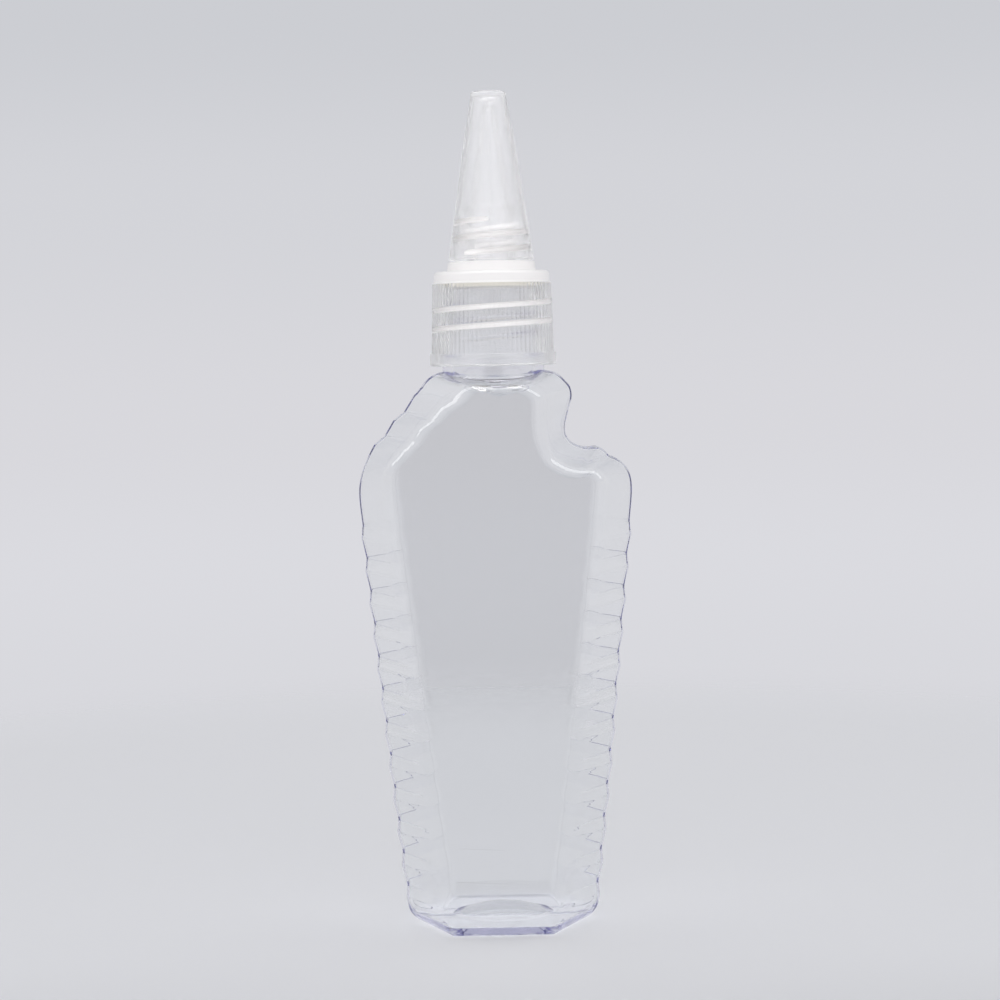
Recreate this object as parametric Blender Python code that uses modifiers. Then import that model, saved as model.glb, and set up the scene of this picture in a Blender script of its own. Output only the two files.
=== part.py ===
"""Clear nozzle bottle with a screw nozzle closure and a long screw overcap. Metres, +Z up.

The bottle stands on z = 0 with its neck on the Z axis and its front panel facing -Y.
"""
import math

import bmesh
import bpy
from mathutils import Matrix

# Fits and cuts that several pieces share
SEAT_GAP = 0.0003
THREAD_CLEARANCE = 0.00035
OVERRUN = 0.002
MERGE = 0.00001

# Body: flat panels front and back, bevelled sides down to a narrow side edge
BODY_HEIGHT = 0.1025
BODY_HALF_WIDTH = 0.0255
BODY_HALF_DEPTH = 0.0135
SIDE_EDGE_HALF_THICKNESS = 0.0027
FOOT_HALF_WIDTH = 0.0143
FOOT_HALF_DEPTH = 0.0110
FOOT_CORNER_HALF_WIDTH = 0.0083
HEEL_HALF_WIDTH = 0.0175
HEEL_HEIGHT = 0.0047
PANEL_FOOT_HALF_WIDTH = 0.0103
PANEL_FOOT_HEIGHT = 0.0068
PANEL_CORNER_HEIGHT = 0.0087
BODY_WALL = 0.0008
FLOOR_THICKNESS = 0.0012
PUSH_UP_HALF_WIDTH = 0.0095
PUSH_UP_HALF_DEPTH = 0.0075
PUSH_UP_HEIGHT = 0.0018
DOME_SIDES = 24
DOME_RINGS = 48
OUTLINE_STEP = 0.00153
CAVITY_STEP = 0.0023
TRACE_STEPS = 24

# Scallops: one row down each side, and a short row on the sloping shoulder
SCALLOP_HEIGHT = 0.00044
SIDE_SCALLOP_PITCH = 0.00613
SHOULDER_SCALLOP_PITCH = 0.0058
SIDE_SCALLOPS = 12
SCALLOP_FULL_SHARE = 0.8
SCALLOP_END_SHARE = 1.15

# From the side edge (0) to the panel's edge (1): the bevel, then the fillet onto the panel
EDGE_ROUND_SHARE = 0.7
BEVEL_SHARES = (0.03, 0.4, 0.77, 0.84)
FILLET_SHARES = (0.9, 1.0, 1.3)
CAVITY_BEVEL_SHARES = (0.0, 0.5, 0.8)
CAVITY_FILLET_SHARES = (0.9, 1.0, 1.15)
FILLET_STEPS = 4
CAVITY_FILLET_STEPS = 2
HEEL_STEPS = 5
FOOT_STEPS = 4
HEEL_CURVE = 1.9

# Stations down the left side and up the right one. Each is the silhouette's point and the
# panel outline's point beside it: x as a share of BODY_HALF_WIDTH, z of BODY_HEIGHT.
LEFT_STATION_SHARES = (
    (0.000, 1.000, 0.020, 0.975),
    (-0.376, 1.000, -0.165, 0.975),
    (-0.443, 0.995, -0.208, 0.969),
    (-0.506, 0.983, -0.251, 0.958),
    (-0.575, 0.955, -0.349, 0.938),
    (-0.725, 0.910, -0.506, 0.902),
    (-0.876, 0.864, -0.651, 0.859),
    (-0.955, 0.835, -0.741, 0.839),
    (-0.988, 0.808, -0.773, 0.821),
    (-1.000, 0.780, -0.749, 0.785),
    (-0.969, 0.700, -0.708, 0.700),
    (-0.792, 0.270, -0.494, 0.270),
    (-0.708, 0.087, -0.412, 0.103),
)
RIGHT_STATION_SHARES = (
    (0.708, 0.087, 0.412, 0.103),
    (0.792, 0.270, 0.494, 0.270),
    (0.969, 0.700, 0.708, 0.700),
    (1.000, 0.780, 0.749, 0.780),
    (0.992, 0.804, 0.765, 0.801),
    (0.961, 0.822, 0.741, 0.812),
    (0.898, 0.836, 0.706, 0.818),
    (0.839, 0.843, 0.678, 0.819),
    (0.800, 0.853, 0.655, 0.817),
    (0.753, 0.859, 0.631, 0.817),
    (0.690, 0.858, 0.596, 0.818),
    (0.612, 0.862, 0.533, 0.821),
    (0.553, 0.871, 0.478, 0.827),
    (0.522, 0.885, 0.416, 0.842),
    (0.520, 0.900, 0.369, 0.864),
    (0.545, 0.926, 0.343, 0.898),
    (0.573, 0.952, 0.345, 0.937),
    (0.565, 0.968, 0.333, 0.953),
    (0.529, 0.980, 0.302, 0.962),
    (0.467, 0.994, 0.259, 0.969),
    (0.376, 1.000, 0.212, 0.974),
    (0.000, 1.000, 0.020, 0.975),
)
LEFT_SHOULDER_SCALLOP_STATION = 5
LEFT_SIDE_SCALLOP_STATION = 10
LEFT_STRAIGHT_STATION = 11
RIGHT_STRAIGHT_STATION = 2
RIGHT_SIDE_SCALLOP_STATION = 3

# Neck finish
NECK_RADIUS = 0.0091
NECK_BORE_RADIUS = 0.0077
NECK_COLLAR_STAND = 0.00045
NECK_COLLAR_HEIGHT = 0.0026
NECK_ROOT = 0.0045
NECK_LIP = 0.0004
NECK_STEPS = 48
NECK_THREAD_DEPTH = 0.00075
NECK_THREAD_PITCH = 0.0035
NECK_THREAD_DROP = 0.0025
NECK_THREAD_START = math.radians(225)
NECK_THREAD_TURNS = 2.0

# Liner
LINER_THICKNESS = 0.0008
LINER_HOLE_RADIUS = 0.0045
LINER_SIDE_GAP = 0.0004
LINER_STEPS = 40

# Thread ridges: a flat-topped ridge, sunk a little into its wall, run out at both ends
RIDGE_FOOT_HALF = 0.0006
RIDGE_CREST_HALF = 0.00028
RIDGE_SINK = 0.0003
RIDGE_FLANK_STEP = 0.0012
RIDGE_RUN_OUT = math.radians(40)
RIDGE_STEPS = 26

# Closure, measured up from its rim, which stands a little above the body
CLOSURE_HEIGHT = 0.0176
CLOSURE_RIM_CLEARANCE = 0.0011
PLATE_THICKNESS = 0.0019
SKIRT_TOP_WALL = 0.00095
SKIRT_DRAFT = 0.0003
DISC_HEIGHT = 0.0023
DISC_STEP = 0.00035
DISC_ROUND = 0.0007
BEAD_HEIGHT = 0.0023
BEAD_STAND = 0.00035
RIM_CHAMFER = 0.0003
KNURL_COUNT = 80
KNURL_DEPTH = 0.00022
KNURL_WIDTH = 0.0005
CLOSURE_THREAD_START = math.radians(510)
CLOSURE_THREAD_TURNS = 1.75
SEAT_RADIUS = 0.0083
SEAT_DRAFT = 0.00015
SEAT_HEIGHT = 0.0018
SPIGOT_RADIUS = 0.0046
SPIGOT_HEIGHT = 0.0105
SPIGOT_BORE_RADIUS = 0.0032
SPIGOT_BORE_HEIGHT = 0.0085
SPIGOT_CHAMFER = 0.0005
SPIGOT_THREAD_DEPTH = 0.0007
SPIGOT_THREAD_TURNS = 1.5
NOZZLE_ROOT_RADIUS = 0.0037
NOZZLE_TIP_RADIUS = 0.0014
NOZZLE_TIP_ROUND = 0.0003
ORIFICE_RADIUS = 0.0007
ORIFICE_LENGTH = 0.0035

# Overcap, measured up from its rim, with the pin that seals the nozzle under its roof
OVERCAP_HEIGHT = 0.0316
OVERCAP_RIM_RADIUS = 0.00785
OVERCAP_TOP_RADIUS = 0.00325
OVERCAP_WALL = 0.00075
OVERCAP_ROOF = 0.001
OVERCAP_TOP_ROUND = 0.0006
OVERCAP_STEP_DROP = 0.0072
OVERCAP_STEP = 0.0001
OVERCAP_THREAD_PITCH = 0.003
OVERCAP_THREAD_HEIGHT = 0.0012
OVERCAP_THREAD_START = math.radians(225)
OVERCAP_THREAD_TURNS = 2.125
OVERCAP_RIBS = 4
OVERCAP_RIB_WIDTH = 0.0004
OVERCAP_RIB_STAND = 0.00018
PIN_RADIUS = 0.00035
PIN_REACH = 0.001
PIN_HUB_RADIUS = 0.0016
PIN_HUB_THICKNESS = 0.0006
PIN_HUB_CLEARANCE = 0.0008

CAP_STEPS = 40
BORE_STEPS = 40
PIN_STEPS = 20
ROUND_STEPS = 3

# Heights of the stack: the neck reaches the liner under the closure's plate, and the nozzle
# reaches the hub of the pin under the overcap's roof
CLOSURE_RIM = BODY_HEIGHT + CLOSURE_RIM_CLEARANCE
CLOSURE_TOP = CLOSURE_RIM + CLOSURE_HEIGHT
CLOSURE_ROOF = CLOSURE_TOP - PLATE_THICKNESS
LINER_BOTTOM = CLOSURE_ROOF - SEAT_GAP - LINER_THICKNESS
NECK_TOP = LINER_BOTTOM - SEAT_GAP
NECK_THREAD_BOTTOM = NECK_TOP - NECK_THREAD_DROP - NECK_THREAD_PITCH * NECK_THREAD_TURNS
SEAT_TOP = CLOSURE_TOP + SEAT_HEIGHT
OVERCAP_RIM = SEAT_TOP + SEAT_GAP
OVERCAP_CEILING = OVERCAP_RIM + OVERCAP_HEIGHT - OVERCAP_ROOF
PIN_TOP = OVERCAP_CEILING - SEAT_GAP
NOZZLE_TIP = PIN_TOP - PIN_HUB_THICKNESS - PIN_HUB_CLEARANCE

# Radii that follow from the piece inside
CLOSURE_BORE_RADIUS = NECK_RADIUS + NECK_THREAD_DEPTH + THREAD_CLEARANCE
CLOSURE_CREST_RADIUS = NECK_RADIUS + THREAD_CLEARANCE
OVERCAP_CREST_RADIUS = SPIGOT_RADIUS + THREAD_CLEARANCE


def clear_scene():
    for obj in list(bpy.data.objects):
        bpy.data.objects.remove(obj, do_unlink=True)


def new_collection(name):
    collection = bpy.data.collections.new(name)
    bpy.context.scene.collection.children.link(collection)
    return collection


def plastic(name, colour, roughness, transmission, ior):
    """A Principled material, not metallic, as clear as its plastic."""
    material = bpy.data.materials.new(name)
    material.use_nodes = True
    shader = material.node_tree.nodes["Principled BSDF"]
    shader.inputs["Base Color"].default_value = (*colour, 1.0)
    shader.inputs["Roughness"].default_value = roughness
    shader.inputs["Metallic"].default_value = 0.0
    shader.inputs["Transmission Weight"].default_value = transmission
    shader.inputs["IOR"].default_value = ior
    material.diffuse_color = (*colour, 1.0)
    return material


def add_piece(name, mesh, collection, height=0.0, material=None):
    """An object on the neck axis, its origin at this height."""
    obj = bpy.data.objects.new(name, mesh)
    obj.location.z = height
    if material is not None:
        mesh.materials.append(material)
    collection.objects.link(obj)
    return obj


def add_cutter(name, mesh, collection, height=0.0):
    obj = add_piece(name, mesh, collection, height)
    obj.hide_render = True
    obj.display_type = "WIRE"
    return obj


def mesh_of(name, bm):
    mesh = bpy.data.meshes.new(name)
    bm.to_mesh(mesh)
    bm.free()
    return mesh


def profile_mesh(name, points, closed):
    """Edges through (radius, height) points, which run down the outer side."""
    edges = [(i, i + 1) for i in range(len(points) - 1)]
    if closed:
        edges.append((len(points) - 1, 0))
    mesh = bpy.data.meshes.new(name)
    mesh.from_pydata([(radius, 0.0, z) for radius, z in points], edges, [])
    return mesh


def turn(obj, steps):
    screw = obj.modifiers.new("turned", "SCREW")
    screw.axis = "Z"
    screw.steps = steps
    screw.render_steps = steps
    screw.use_merge_vertices = True
    screw.merge_threshold = MERGE
    screw.use_smooth_shade = False


def combine(obj, other, operation):
    boolean = obj.modifiers.new(other.name, "BOOLEAN")
    boolean.operation = operation
    boolean.object = other
    boolean.solver = "EXACT"


def round_corner(inner, outer, high, low):
    """A quarter round from (inner, high) out and down to (outer, low)."""
    corner = []
    for i in range(ROUND_STEPS + 1):
        angle = math.radians(90) * i / ROUND_STEPS
        radius = inner + (outer - inner) * math.sin(angle)
        corner.append((radius, low + (high - low) * math.cos(angle)))
    return corner


def spline(knots, interval, t):
    """A centripetal Catmull-Rom curve through 2D knots, at t of one interval."""
    def knot(i):
        if i < 0:
            return tuple(2 * a - b for a, b in zip(knots[0], knots[1]))
        if i >= len(knots):
            return tuple(2 * a - b for a, b in zip(knots[-1], knots[-2]))
        return knots[i]

    def mix(a, b, start, end, at):
        share = (at - start) / (end - start)
        return tuple(p + (q - p) * share for p, q in zip(a, b))

    p0, p1, p2, p3 = (knot(interval + i) for i in (-1, 0, 1, 2))
    times = [0.0]
    for a, b in ((p0, p1), (p1, p2), (p2, p3)):
        times.append(times[-1] + max(math.sqrt(math.dist(a, b)), MERGE))
    t0, t1, t2, t3 = times
    at = t1 + (t2 - t1) * t
    a1, a2, a3 = mix(p0, p1, t0, t1, at), mix(p1, p2, t1, t2, at), mix(p2, p3, t2, t3, at)
    b1, b2 = mix(a1, a2, t0, t2, at), mix(a2, a3, t1, t3, at)
    return mix(b1, b2, t1, t2, at)


def stations(shares):
    """(silhouette knots, panel knots) in metres."""
    silhouette = [(BODY_HALF_WIDTH * s[0], BODY_HEIGHT * s[1]) for s in shares]
    panel = [(BODY_HALF_WIDTH * s[2], BODY_HEIGHT * s[3]) for s in shares]
    return silhouette, panel


def scallop(distance, trains):
    """How far the silhouette swells here; each train is (peak, pitch, first, last)."""
    swell = 0.0
    for peak, pitch, first, last in trains:
        turns = (distance - peak) / pitch
        if first - 0.5 < turns < last + 0.5:
            swell += SCALLOP_HEIGHT / 2 * (1 + math.cos(2 * math.pi * turns))
    return swell


def trace(silhouette, panel, step, phase_station, trains_of, straight):
    """Points along a run of stations at even steps, as (outline, panel, swell, lifted).

    One point falls on phase_station, so that the scallops' peaks are met.
    """
    places, lengths = [], []
    length = 0.0
    last = silhouette[0]
    for interval in range(len(silhouette) - 1):
        for i in range(TRACE_STEPS):
            here = spline(silhouette, interval, i / TRACE_STEPS)
            length += math.dist(last, here)
            last = here
            places.append(interval + i / TRACE_STEPS)
            lengths.append(length)
    length += math.dist(last, silhouette[-1])
    trains = trains_of(lambda station: lengths[station * TRACE_STEPS])
    phase = lengths[phase_station * TRACE_STEPS] % step
    found = []
    place = 0
    for i in range(int((length - phase) / step) + 1):
        distance = phase + i * step
        while place + 1 < len(lengths) and lengths[place + 1] <= distance:
            place += 1
        where = places[place]
        if place + 1 < len(lengths):
            span = lengths[place + 1] - lengths[place]
            where += (distance - lengths[place]) / span / TRACE_STEPS
        interval = int(where)
        found.append((
            spline(silhouette, interval, where - interval),
            spline(panel, interval, where - interval),
            scallop(distance, trains),
            straight(where),
        ))
    return found


def left_run(step, scalloped):
    silhouette, panel = stations(LEFT_STATION_SHARES)
    silhouette.append((-HEEL_HALF_WIDTH, HEEL_HEIGHT))
    panel.append((-PANEL_FOOT_HALF_WIDTH, PANEL_CORNER_HEIGHT))

    def trains(length_at):
        if not scalloped:
            return []
        side = length_at(LEFT_SIDE_SCALLOP_STATION)
        slope = length_at(LEFT_SHOULDER_SCALLOP_STATION)
        return [
            (side, SIDE_SCALLOP_PITCH, 0, SIDE_SCALLOPS - 1),
            (slope, SHOULDER_SCALLOP_PITCH, -1, 1),
        ]

    return trace(
        silhouette, panel, step, LEFT_SIDE_SCALLOP_STATION, trains,
        lambda where: where > LEFT_STRAIGHT_STATION,
    )


def right_run(step, scalloped):
    silhouette, panel = stations(RIGHT_STATION_SHARES)
    silhouette.insert(0, (HEEL_HALF_WIDTH, HEEL_HEIGHT))
    panel.insert(0, (PANEL_FOOT_HALF_WIDTH, PANEL_CORNER_HEIGHT))

    def trains(length_at):
        if not scalloped:
            return []
        side = length_at(RIGHT_SIDE_SCALLOP_STATION)
        return [(side, SIDE_SCALLOP_PITCH, 1 - SIDE_SCALLOPS, 0)]

    return trace(
        silhouette, panel, step, RIGHT_SIDE_SCALLOP_STATION, trains,
        lambda where: where < RIGHT_STRAIGHT_STATION,
    )


def heel(side, swell, angles):
    """The quarter round at one lower corner, from the side (0) to the foot (90 degrees)."""
    points = []
    for angle in angles:
        out, down = math.cos(angle), 1 - math.sin(angle)
        outline = (
            side * (FOOT_HALF_WIDTH + (HEEL_HALF_WIDTH - FOOT_HALF_WIDTH) * out),
            HEEL_HEIGHT * down,
        )
        panel = (
            side * (FOOT_CORNER_HALF_WIDTH + (PANEL_FOOT_HALF_WIDTH - FOOT_CORNER_HALF_WIDTH) * out),
            PANEL_FOOT_HEIGHT + (PANEL_CORNER_HEIGHT - PANEL_FOOT_HEIGHT) * down,
        )
        points.append((outline, panel, swell * out, True))
    return points


def whole_outline(step, scalloped):
    """The front view's closed outline, from the top centre round by the left side."""
    left = left_run(step, scalloped)
    right = right_run(step, scalloped)
    quarter = math.radians(90)
    angles = [quarter * i / HEEL_STEPS for i in range(1, HEEL_STEPS + 1)]
    foot = []
    for i in range(1, FOOT_STEPS):
        across = 2 * i / FOOT_STEPS - 1
        foot.append((
            (FOOT_HALF_WIDTH * across, 0.0),
            (FOOT_CORNER_HALF_WIDTH * across, PANEL_FOOT_HEIGHT),
            0.0,
            True,
        ))
    return (
        left + heel(-1, left[-1][2], angles) + foot + heel(1, right[0][2], angles[::-1]) + right
    )


def outward(loop):
    """Unit normals of a closed loop that runs anticlockwise."""
    normals = []
    for i in range(len(loop)):
        ax, az = loop[i - 1]
        bx, bz = loop[(i + 1) % len(loop)]
        length = math.hypot(bx - ax, bz - az)
        normals.append(((bz - az) / length, (ax - bx) / length))
    return normals


def fillet(shares, depth_of, depth, steps):
    """(depth, share) from the bevel round onto the panel, as a quadratic curve."""
    start, corner, end = shares
    first = depth_of(start)
    found = []
    for i in range(steps + 1):
        t = i / steps
        a, b, c = (1 - t) ** 2, 2 * t * (1 - t), t ** 2
        found.append((a * first + (b + c) * depth, a * start + b * corner + c * end))
    return found


def half_shell(name, rings):
    """The front half of a body as a loft of rings, open at y = 0, with its panel."""
    bm = bmesh.new()
    loops = [[bm.verts.new(point) for point in ring] for ring in rings]
    count = len(rings[0])
    for back, front in zip(loops, loops[1:]):
        for i in range(count):
            j = (i + 1) % count
            bm.faces.new((back[i], back[j], front[j], front[i]))
    bm.faces.new(loops[-1])
    return mesh_of(name, bm)


def mirror_front_to_back(obj):
    mirror = obj.modifiers.new("back half", "MIRROR")
    mirror.use_axis = (False, True, False)
    mirror.merge_threshold = MERGE


def scallop_fade(share):
    span = SCALLOP_END_SHARE - SCALLOP_FULL_SHARE
    return min(1.0, max(0.0, (SCALLOP_END_SHARE - share) / span))


def heel_lift(depth, foot, panel_depth, share):
    """How far the front heel has climbed from the foot to the panel's lower edge."""
    if depth <= foot:
        return 0.0
    return max(share - 1, 0) + ((depth - foot) / (panel_depth - foot)) ** HEEL_CURVE


def body_rings(levels, step, inset, scalloped, floor, foot, panel_depth):
    """Closed rings at each (depth, share), the outline blended towards the panel's."""
    points = whole_outline(step, scalloped)
    silhouette = [point[0] for point in points]
    panel = [point[1] for point in points]
    out_silhouette, out_panel = outward(silhouette), outward(panel)
    bevel_depth = panel_depth - SIDE_EDGE_HALF_THICKNESS
    rings = []
    for depth, share in levels:
        lift = heel_lift(depth, foot, panel_depth, share)
        ring = []
        for i, (_, _, swell, lifted) in enumerate(points):
            stand = swell * scallop_fade(share) - inset
            ox = silhouette[i][0] + out_silhouette[i][0] * stand
            oz = silhouette[i][1] + out_silhouette[i][1] * stand
            tilt = math.atan2(bevel_depth, math.dist(silhouette[i], panel[i]))
            panel_inset = inset * math.tan(tilt / 2)
            px = panel[i][0] - out_panel[i][0] * panel_inset
            pz = panel[i][1] - out_panel[i][1] * panel_inset
            climb = lift if lifted else share
            ring.append((
                ox + (px - ox) * share,
                -depth,
                max(oz + (pz - oz) * climb, floor),
            ))
        rings.append(ring)
    return rings


def outer_body():
    def depth_of(share):
        return SIDE_EDGE_HALF_THICKNESS + (BODY_HALF_DEPTH - SIDE_EDGE_HALF_THICKNESS) * share

    levels = [(0.0, 0.0), (SIDE_EDGE_HALF_THICKNESS * EDGE_ROUND_SHARE, 0.0)]
    levels += [(depth_of(share), share) for share in BEVEL_SHARES]
    levels += fillet(FILLET_SHARES, depth_of, BODY_HALF_DEPTH, FILLET_STEPS)
    rings = body_rings(
        levels, OUTLINE_STEP, 0.0, True, 0.0, FOOT_HALF_DEPTH, BODY_HALF_DEPTH
    )
    return half_shell("bottle", rings)


def inner_body():
    edge = SIDE_EDGE_HALF_THICKNESS
    panel_depth = BODY_HALF_DEPTH - BODY_WALL

    def depth_of(share):
        return edge + (panel_depth - edge) * share

    levels = [(0.0, 0.0)]
    levels += [(depth_of(share), share) for share in CAVITY_BEVEL_SHARES]
    levels += fillet(CAVITY_FILLET_SHARES, depth_of, panel_depth, CAVITY_FILLET_STEPS)
    rings = body_rings(
        levels, CAVITY_STEP, BODY_WALL, False, FLOOR_THICKNESS,
        FOOT_HALF_DEPTH - BODY_WALL, panel_depth,
    )
    return half_shell("body_cavity", rings)


def shallow_dome(name, half_width, half_depth, height, foot):
    """The cap of a flattened ball: it rises to height and is an oval of these half sizes at foot."""
    rise = height - foot
    radius = (half_width ** 2 + rise ** 2) / (2 * rise)
    bm = bmesh.new()
    bmesh.ops.create_uvsphere(bm, u_segments=DOME_SIDES, v_segments=DOME_RINGS, radius=radius)
    bmesh.ops.rotate(bm, matrix=Matrix.Rotation(math.pi / DOME_SIDES, 3, "Z"), verts=bm.verts)
    cut = bmesh.ops.bisect_plane(
        bm, geom=bm.verts[:] + bm.edges[:] + bm.faces[:],
        plane_co=(0.0, 0.0, radius - rise - OVERRUN), plane_no=(0.0, 0.0, 1.0), clear_inner=True,
    )
    rim = [item for item in cut["geom_cut"] if isinstance(item, bmesh.types.BMEdge)]
    bmesh.ops.holes_fill(bm, edges=rim)
    bmesh.ops.scale(bm, vec=(1.0, half_depth / half_width, 1.0), verts=bm.verts)
    bmesh.ops.translate(bm, vec=(0.0, 0.0, height - radius), verts=bm.verts)
    bmesh.ops.recalc_face_normals(bm, faces=bm.faces)
    return mesh_of(name, bm)


def thread_ridge(name, root_of, crest, pitch, start_height, start_angle, turns):
    """A right-hand helical ridge from the wall radius root_of(height) to the crest radius."""
    steps = int(turns * RIDGE_STEPS)
    inward = crest < root_of(start_height)
    sink = -RIDGE_SINK if not inward else RIDGE_SINK
    bm = bmesh.new()
    sections = []
    for i in range(steps + 1):
        turned = 2 * math.pi * turns * i / steps
        height = start_height + pitch * turned / (2 * math.pi)
        left = min(turned, 2 * math.pi * turns - turned)
        stand = math.sin(math.radians(90) * min(1.0, left / RIDGE_RUN_OUT))
        root = root_of(height) + sink
        hidden = root_of(height) + sink / 2
        peak = hidden + (crest - hidden) * stand
        angle = start_angle + turned
        section = []
        for radius, z in (
            (root, height - RIDGE_FOOT_HALF),
            (peak, height - RIDGE_CREST_HALF),
            (peak, height + RIDGE_CREST_HALF),
            (root, height + RIDGE_FOOT_HALF),
        ):
            point = (radius * math.cos(angle), radius * math.sin(angle), z)
            section.append(bm.verts.new(point))
        sections.append(section)
    for a, b in zip(sections, sections[1:]):
        for i in range(4):
            j = (i + 1) % 4
            bm.faces.new((a[i], a[j], b[j], b[i]))
    bm.faces.new(sections[0])
    bm.faces.new(sections[-1][::-1])
    bmesh.ops.recalc_face_normals(bm, faces=bm.faces)
    return mesh_of(name, bm)


def make_bottle(parts, cutters, material):
    bottle = add_piece("bottle", outer_body(), parts, material=material)
    mirror_front_to_back(bottle)

    collar = NECK_RADIUS + NECK_COLLAR_STAND
    collar_top = BODY_HEIGHT + NECK_COLLAR_HEIGHT
    neck = add_cutter("neck", profile_mesh("neck", [
        (0.0, NECK_TOP),
        (NECK_RADIUS - NECK_LIP, NECK_TOP),
        (NECK_RADIUS, NECK_TOP - NECK_LIP),
        (NECK_RADIUS, collar_top + NECK_COLLAR_STAND),
        (collar, collar_top),
        (collar, BODY_HEIGHT - NECK_ROOT),
        (0.0, BODY_HEIGHT - NECK_ROOT),
    ], False), cutters)
    turn(neck, NECK_STEPS)
    combine(bottle, neck, "UNION")

    ridge = add_cutter("neck_thread", thread_ridge(
        "neck_thread", lambda height: NECK_RADIUS, NECK_RADIUS + NECK_THREAD_DEPTH,
        NECK_THREAD_PITCH, NECK_THREAD_BOTTOM, NECK_THREAD_START, NECK_THREAD_TURNS,
    ), cutters)
    combine(bottle, ridge, "UNION")

    cavity = add_cutter("body_cavity", inner_body(), cutters)
    mirror_front_to_back(cavity)
    floor_dome = add_cutter("floor_dome", shallow_dome(
        "floor_dome", PUSH_UP_HALF_WIDTH + FLOOR_THICKNESS,
        PUSH_UP_HALF_DEPTH + FLOOR_THICKNESS, PUSH_UP_HEIGHT + FLOOR_THICKNESS, 0.0,
    ), cutters)
    combine(cavity, floor_dome, "DIFFERENCE")
    combine(bottle, cavity, "DIFFERENCE")

    bore = add_cutter("neck_bore", profile_mesh("neck_bore", [
        (0.0, NECK_TOP + OVERRUN),
        (NECK_BORE_RADIUS, NECK_TOP + OVERRUN),
        (NECK_BORE_RADIUS, BODY_HEIGHT - NECK_ROOT),
        (0.0, BODY_HEIGHT - NECK_ROOT),
    ], False), cutters)
    turn(bore, BORE_STEPS)
    combine(bottle, bore, "DIFFERENCE")

    push_up = add_cutter("push_up", shallow_dome(
        "push_up", PUSH_UP_HALF_WIDTH, PUSH_UP_HALF_DEPTH, PUSH_UP_HEIGHT, 0.0,
    ), cutters)
    combine(bottle, push_up, "DIFFERENCE")
    return bottle


def make_liner(parts, material):
    outer = CLOSURE_BORE_RADIUS - LINER_SIDE_GAP
    liner = add_piece("neck_liner", profile_mesh("neck_liner", [
        (outer, LINER_THICKNESS),
        (outer, 0.0),
        (LINER_HOLE_RADIUS, 0.0),
        (LINER_HOLE_RADIUS, LINER_THICKNESS),
    ], True), parts, LINER_BOTTOM, material)
    turn(liner, LINER_STEPS)
    return liner


def closure_profile():
    """(radius, height above the rim) round the closure's wall, from the orifice outwards."""
    def up(height):
        return height - CLOSURE_RIM

    top = CLOSURE_HEIGHT
    seat = up(SEAT_TOP)
    tip = up(NOZZLE_TIP)
    skirt_top_radius = CLOSURE_BORE_RADIUS + SKIRT_TOP_WALL
    skirt_radius = skirt_top_radius + SKIRT_DRAFT
    disc_radius = skirt_top_radius - DISC_STEP
    skirt_top = top - DISC_HEIGHT
    spigot_top = seat + SPIGOT_HEIGHT
    outside = [
        (ORIFICE_RADIUS, tip),
        (NOZZLE_TIP_RADIUS - NOZZLE_TIP_ROUND, tip),
        (NOZZLE_TIP_RADIUS, tip - NOZZLE_TIP_ROUND),
        (NOZZLE_ROOT_RADIUS, spigot_top + SPIGOT_CHAMFER),
        (SPIGOT_RADIUS - SPIGOT_CHAMFER, spigot_top),
        (SPIGOT_RADIUS, spigot_top - SPIGOT_CHAMFER),
        (SPIGOT_RADIUS, seat),
        (SEAT_RADIUS - SEAT_DRAFT, seat),
        (SEAT_RADIUS, top),
    ]
    outside += round_corner(disc_radius - DISC_ROUND, disc_radius, top, top - DISC_ROUND)
    outside += [
        (disc_radius, skirt_top + DISC_STEP),
        (skirt_top_radius, skirt_top),
        (skirt_radius, BEAD_HEIGHT),
        (skirt_radius + BEAD_STAND, BEAD_HEIGHT),
        (skirt_radius + BEAD_STAND, 0.0),
    ]
    roof = up(CLOSURE_ROOF)
    inside = [
        (CLOSURE_BORE_RADIUS + RIM_CHAMFER, 0.0),
        (CLOSURE_BORE_RADIUS, RIM_CHAMFER),
        (CLOSURE_BORE_RADIUS, roof),
        (SPIGOT_BORE_RADIUS, roof),
        (SPIGOT_BORE_RADIUS, seat + SPIGOT_BORE_HEIGHT),
        (ORIFICE_RADIUS, tip - ORIFICE_LENGTH),
    ]
    return outside + inside


def knurl_grooves():
    """Upright V grooves round the skirt, between the bead and the skirt's shoulder."""
    radius = CLOSURE_BORE_RADIUS + SKIRT_TOP_WALL + SKIRT_DRAFT
    low = BEAD_HEIGHT + KNURL_DEPTH
    high = CLOSURE_HEIGHT - DISC_HEIGHT + OVERRUN / 2
    lean = SKIRT_DRAFT / (CLOSURE_HEIGHT - DISC_HEIGHT - BEAD_HEIGHT)
    bm = bmesh.new()
    for i in range(KNURL_COUNT):
        angle = 2 * math.pi * (i + 0.5) / KNURL_COUNT
        ends = []
        for z in (low, high):
            outer = radius - lean * (z - BEAD_HEIGHT)
            corners = []
            for depth, aside in (
                (-KNURL_DEPTH, 0.0), (KNURL_DEPTH, KNURL_WIDTH), (KNURL_DEPTH, -KNURL_WIDTH),
            ):
                out = outer + depth
                corners.append(bm.verts.new((
                    out * math.cos(angle) - aside * math.sin(angle),
                    out * math.sin(angle) + aside * math.cos(angle),
                    z,
                )))
            ends.append(corners)
        bottom, upper = ends
        for a, b in ((0, 1), (1, 2), (2, 0)):
            bm.faces.new((bottom[a], bottom[b], upper[b], upper[a]))
        bm.faces.new(bottom[::-1])
        bm.faces.new(upper)
    bmesh.ops.recalc_face_normals(bm, faces=bm.faces)
    return mesh_of("knurl_grooves", bm)


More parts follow.
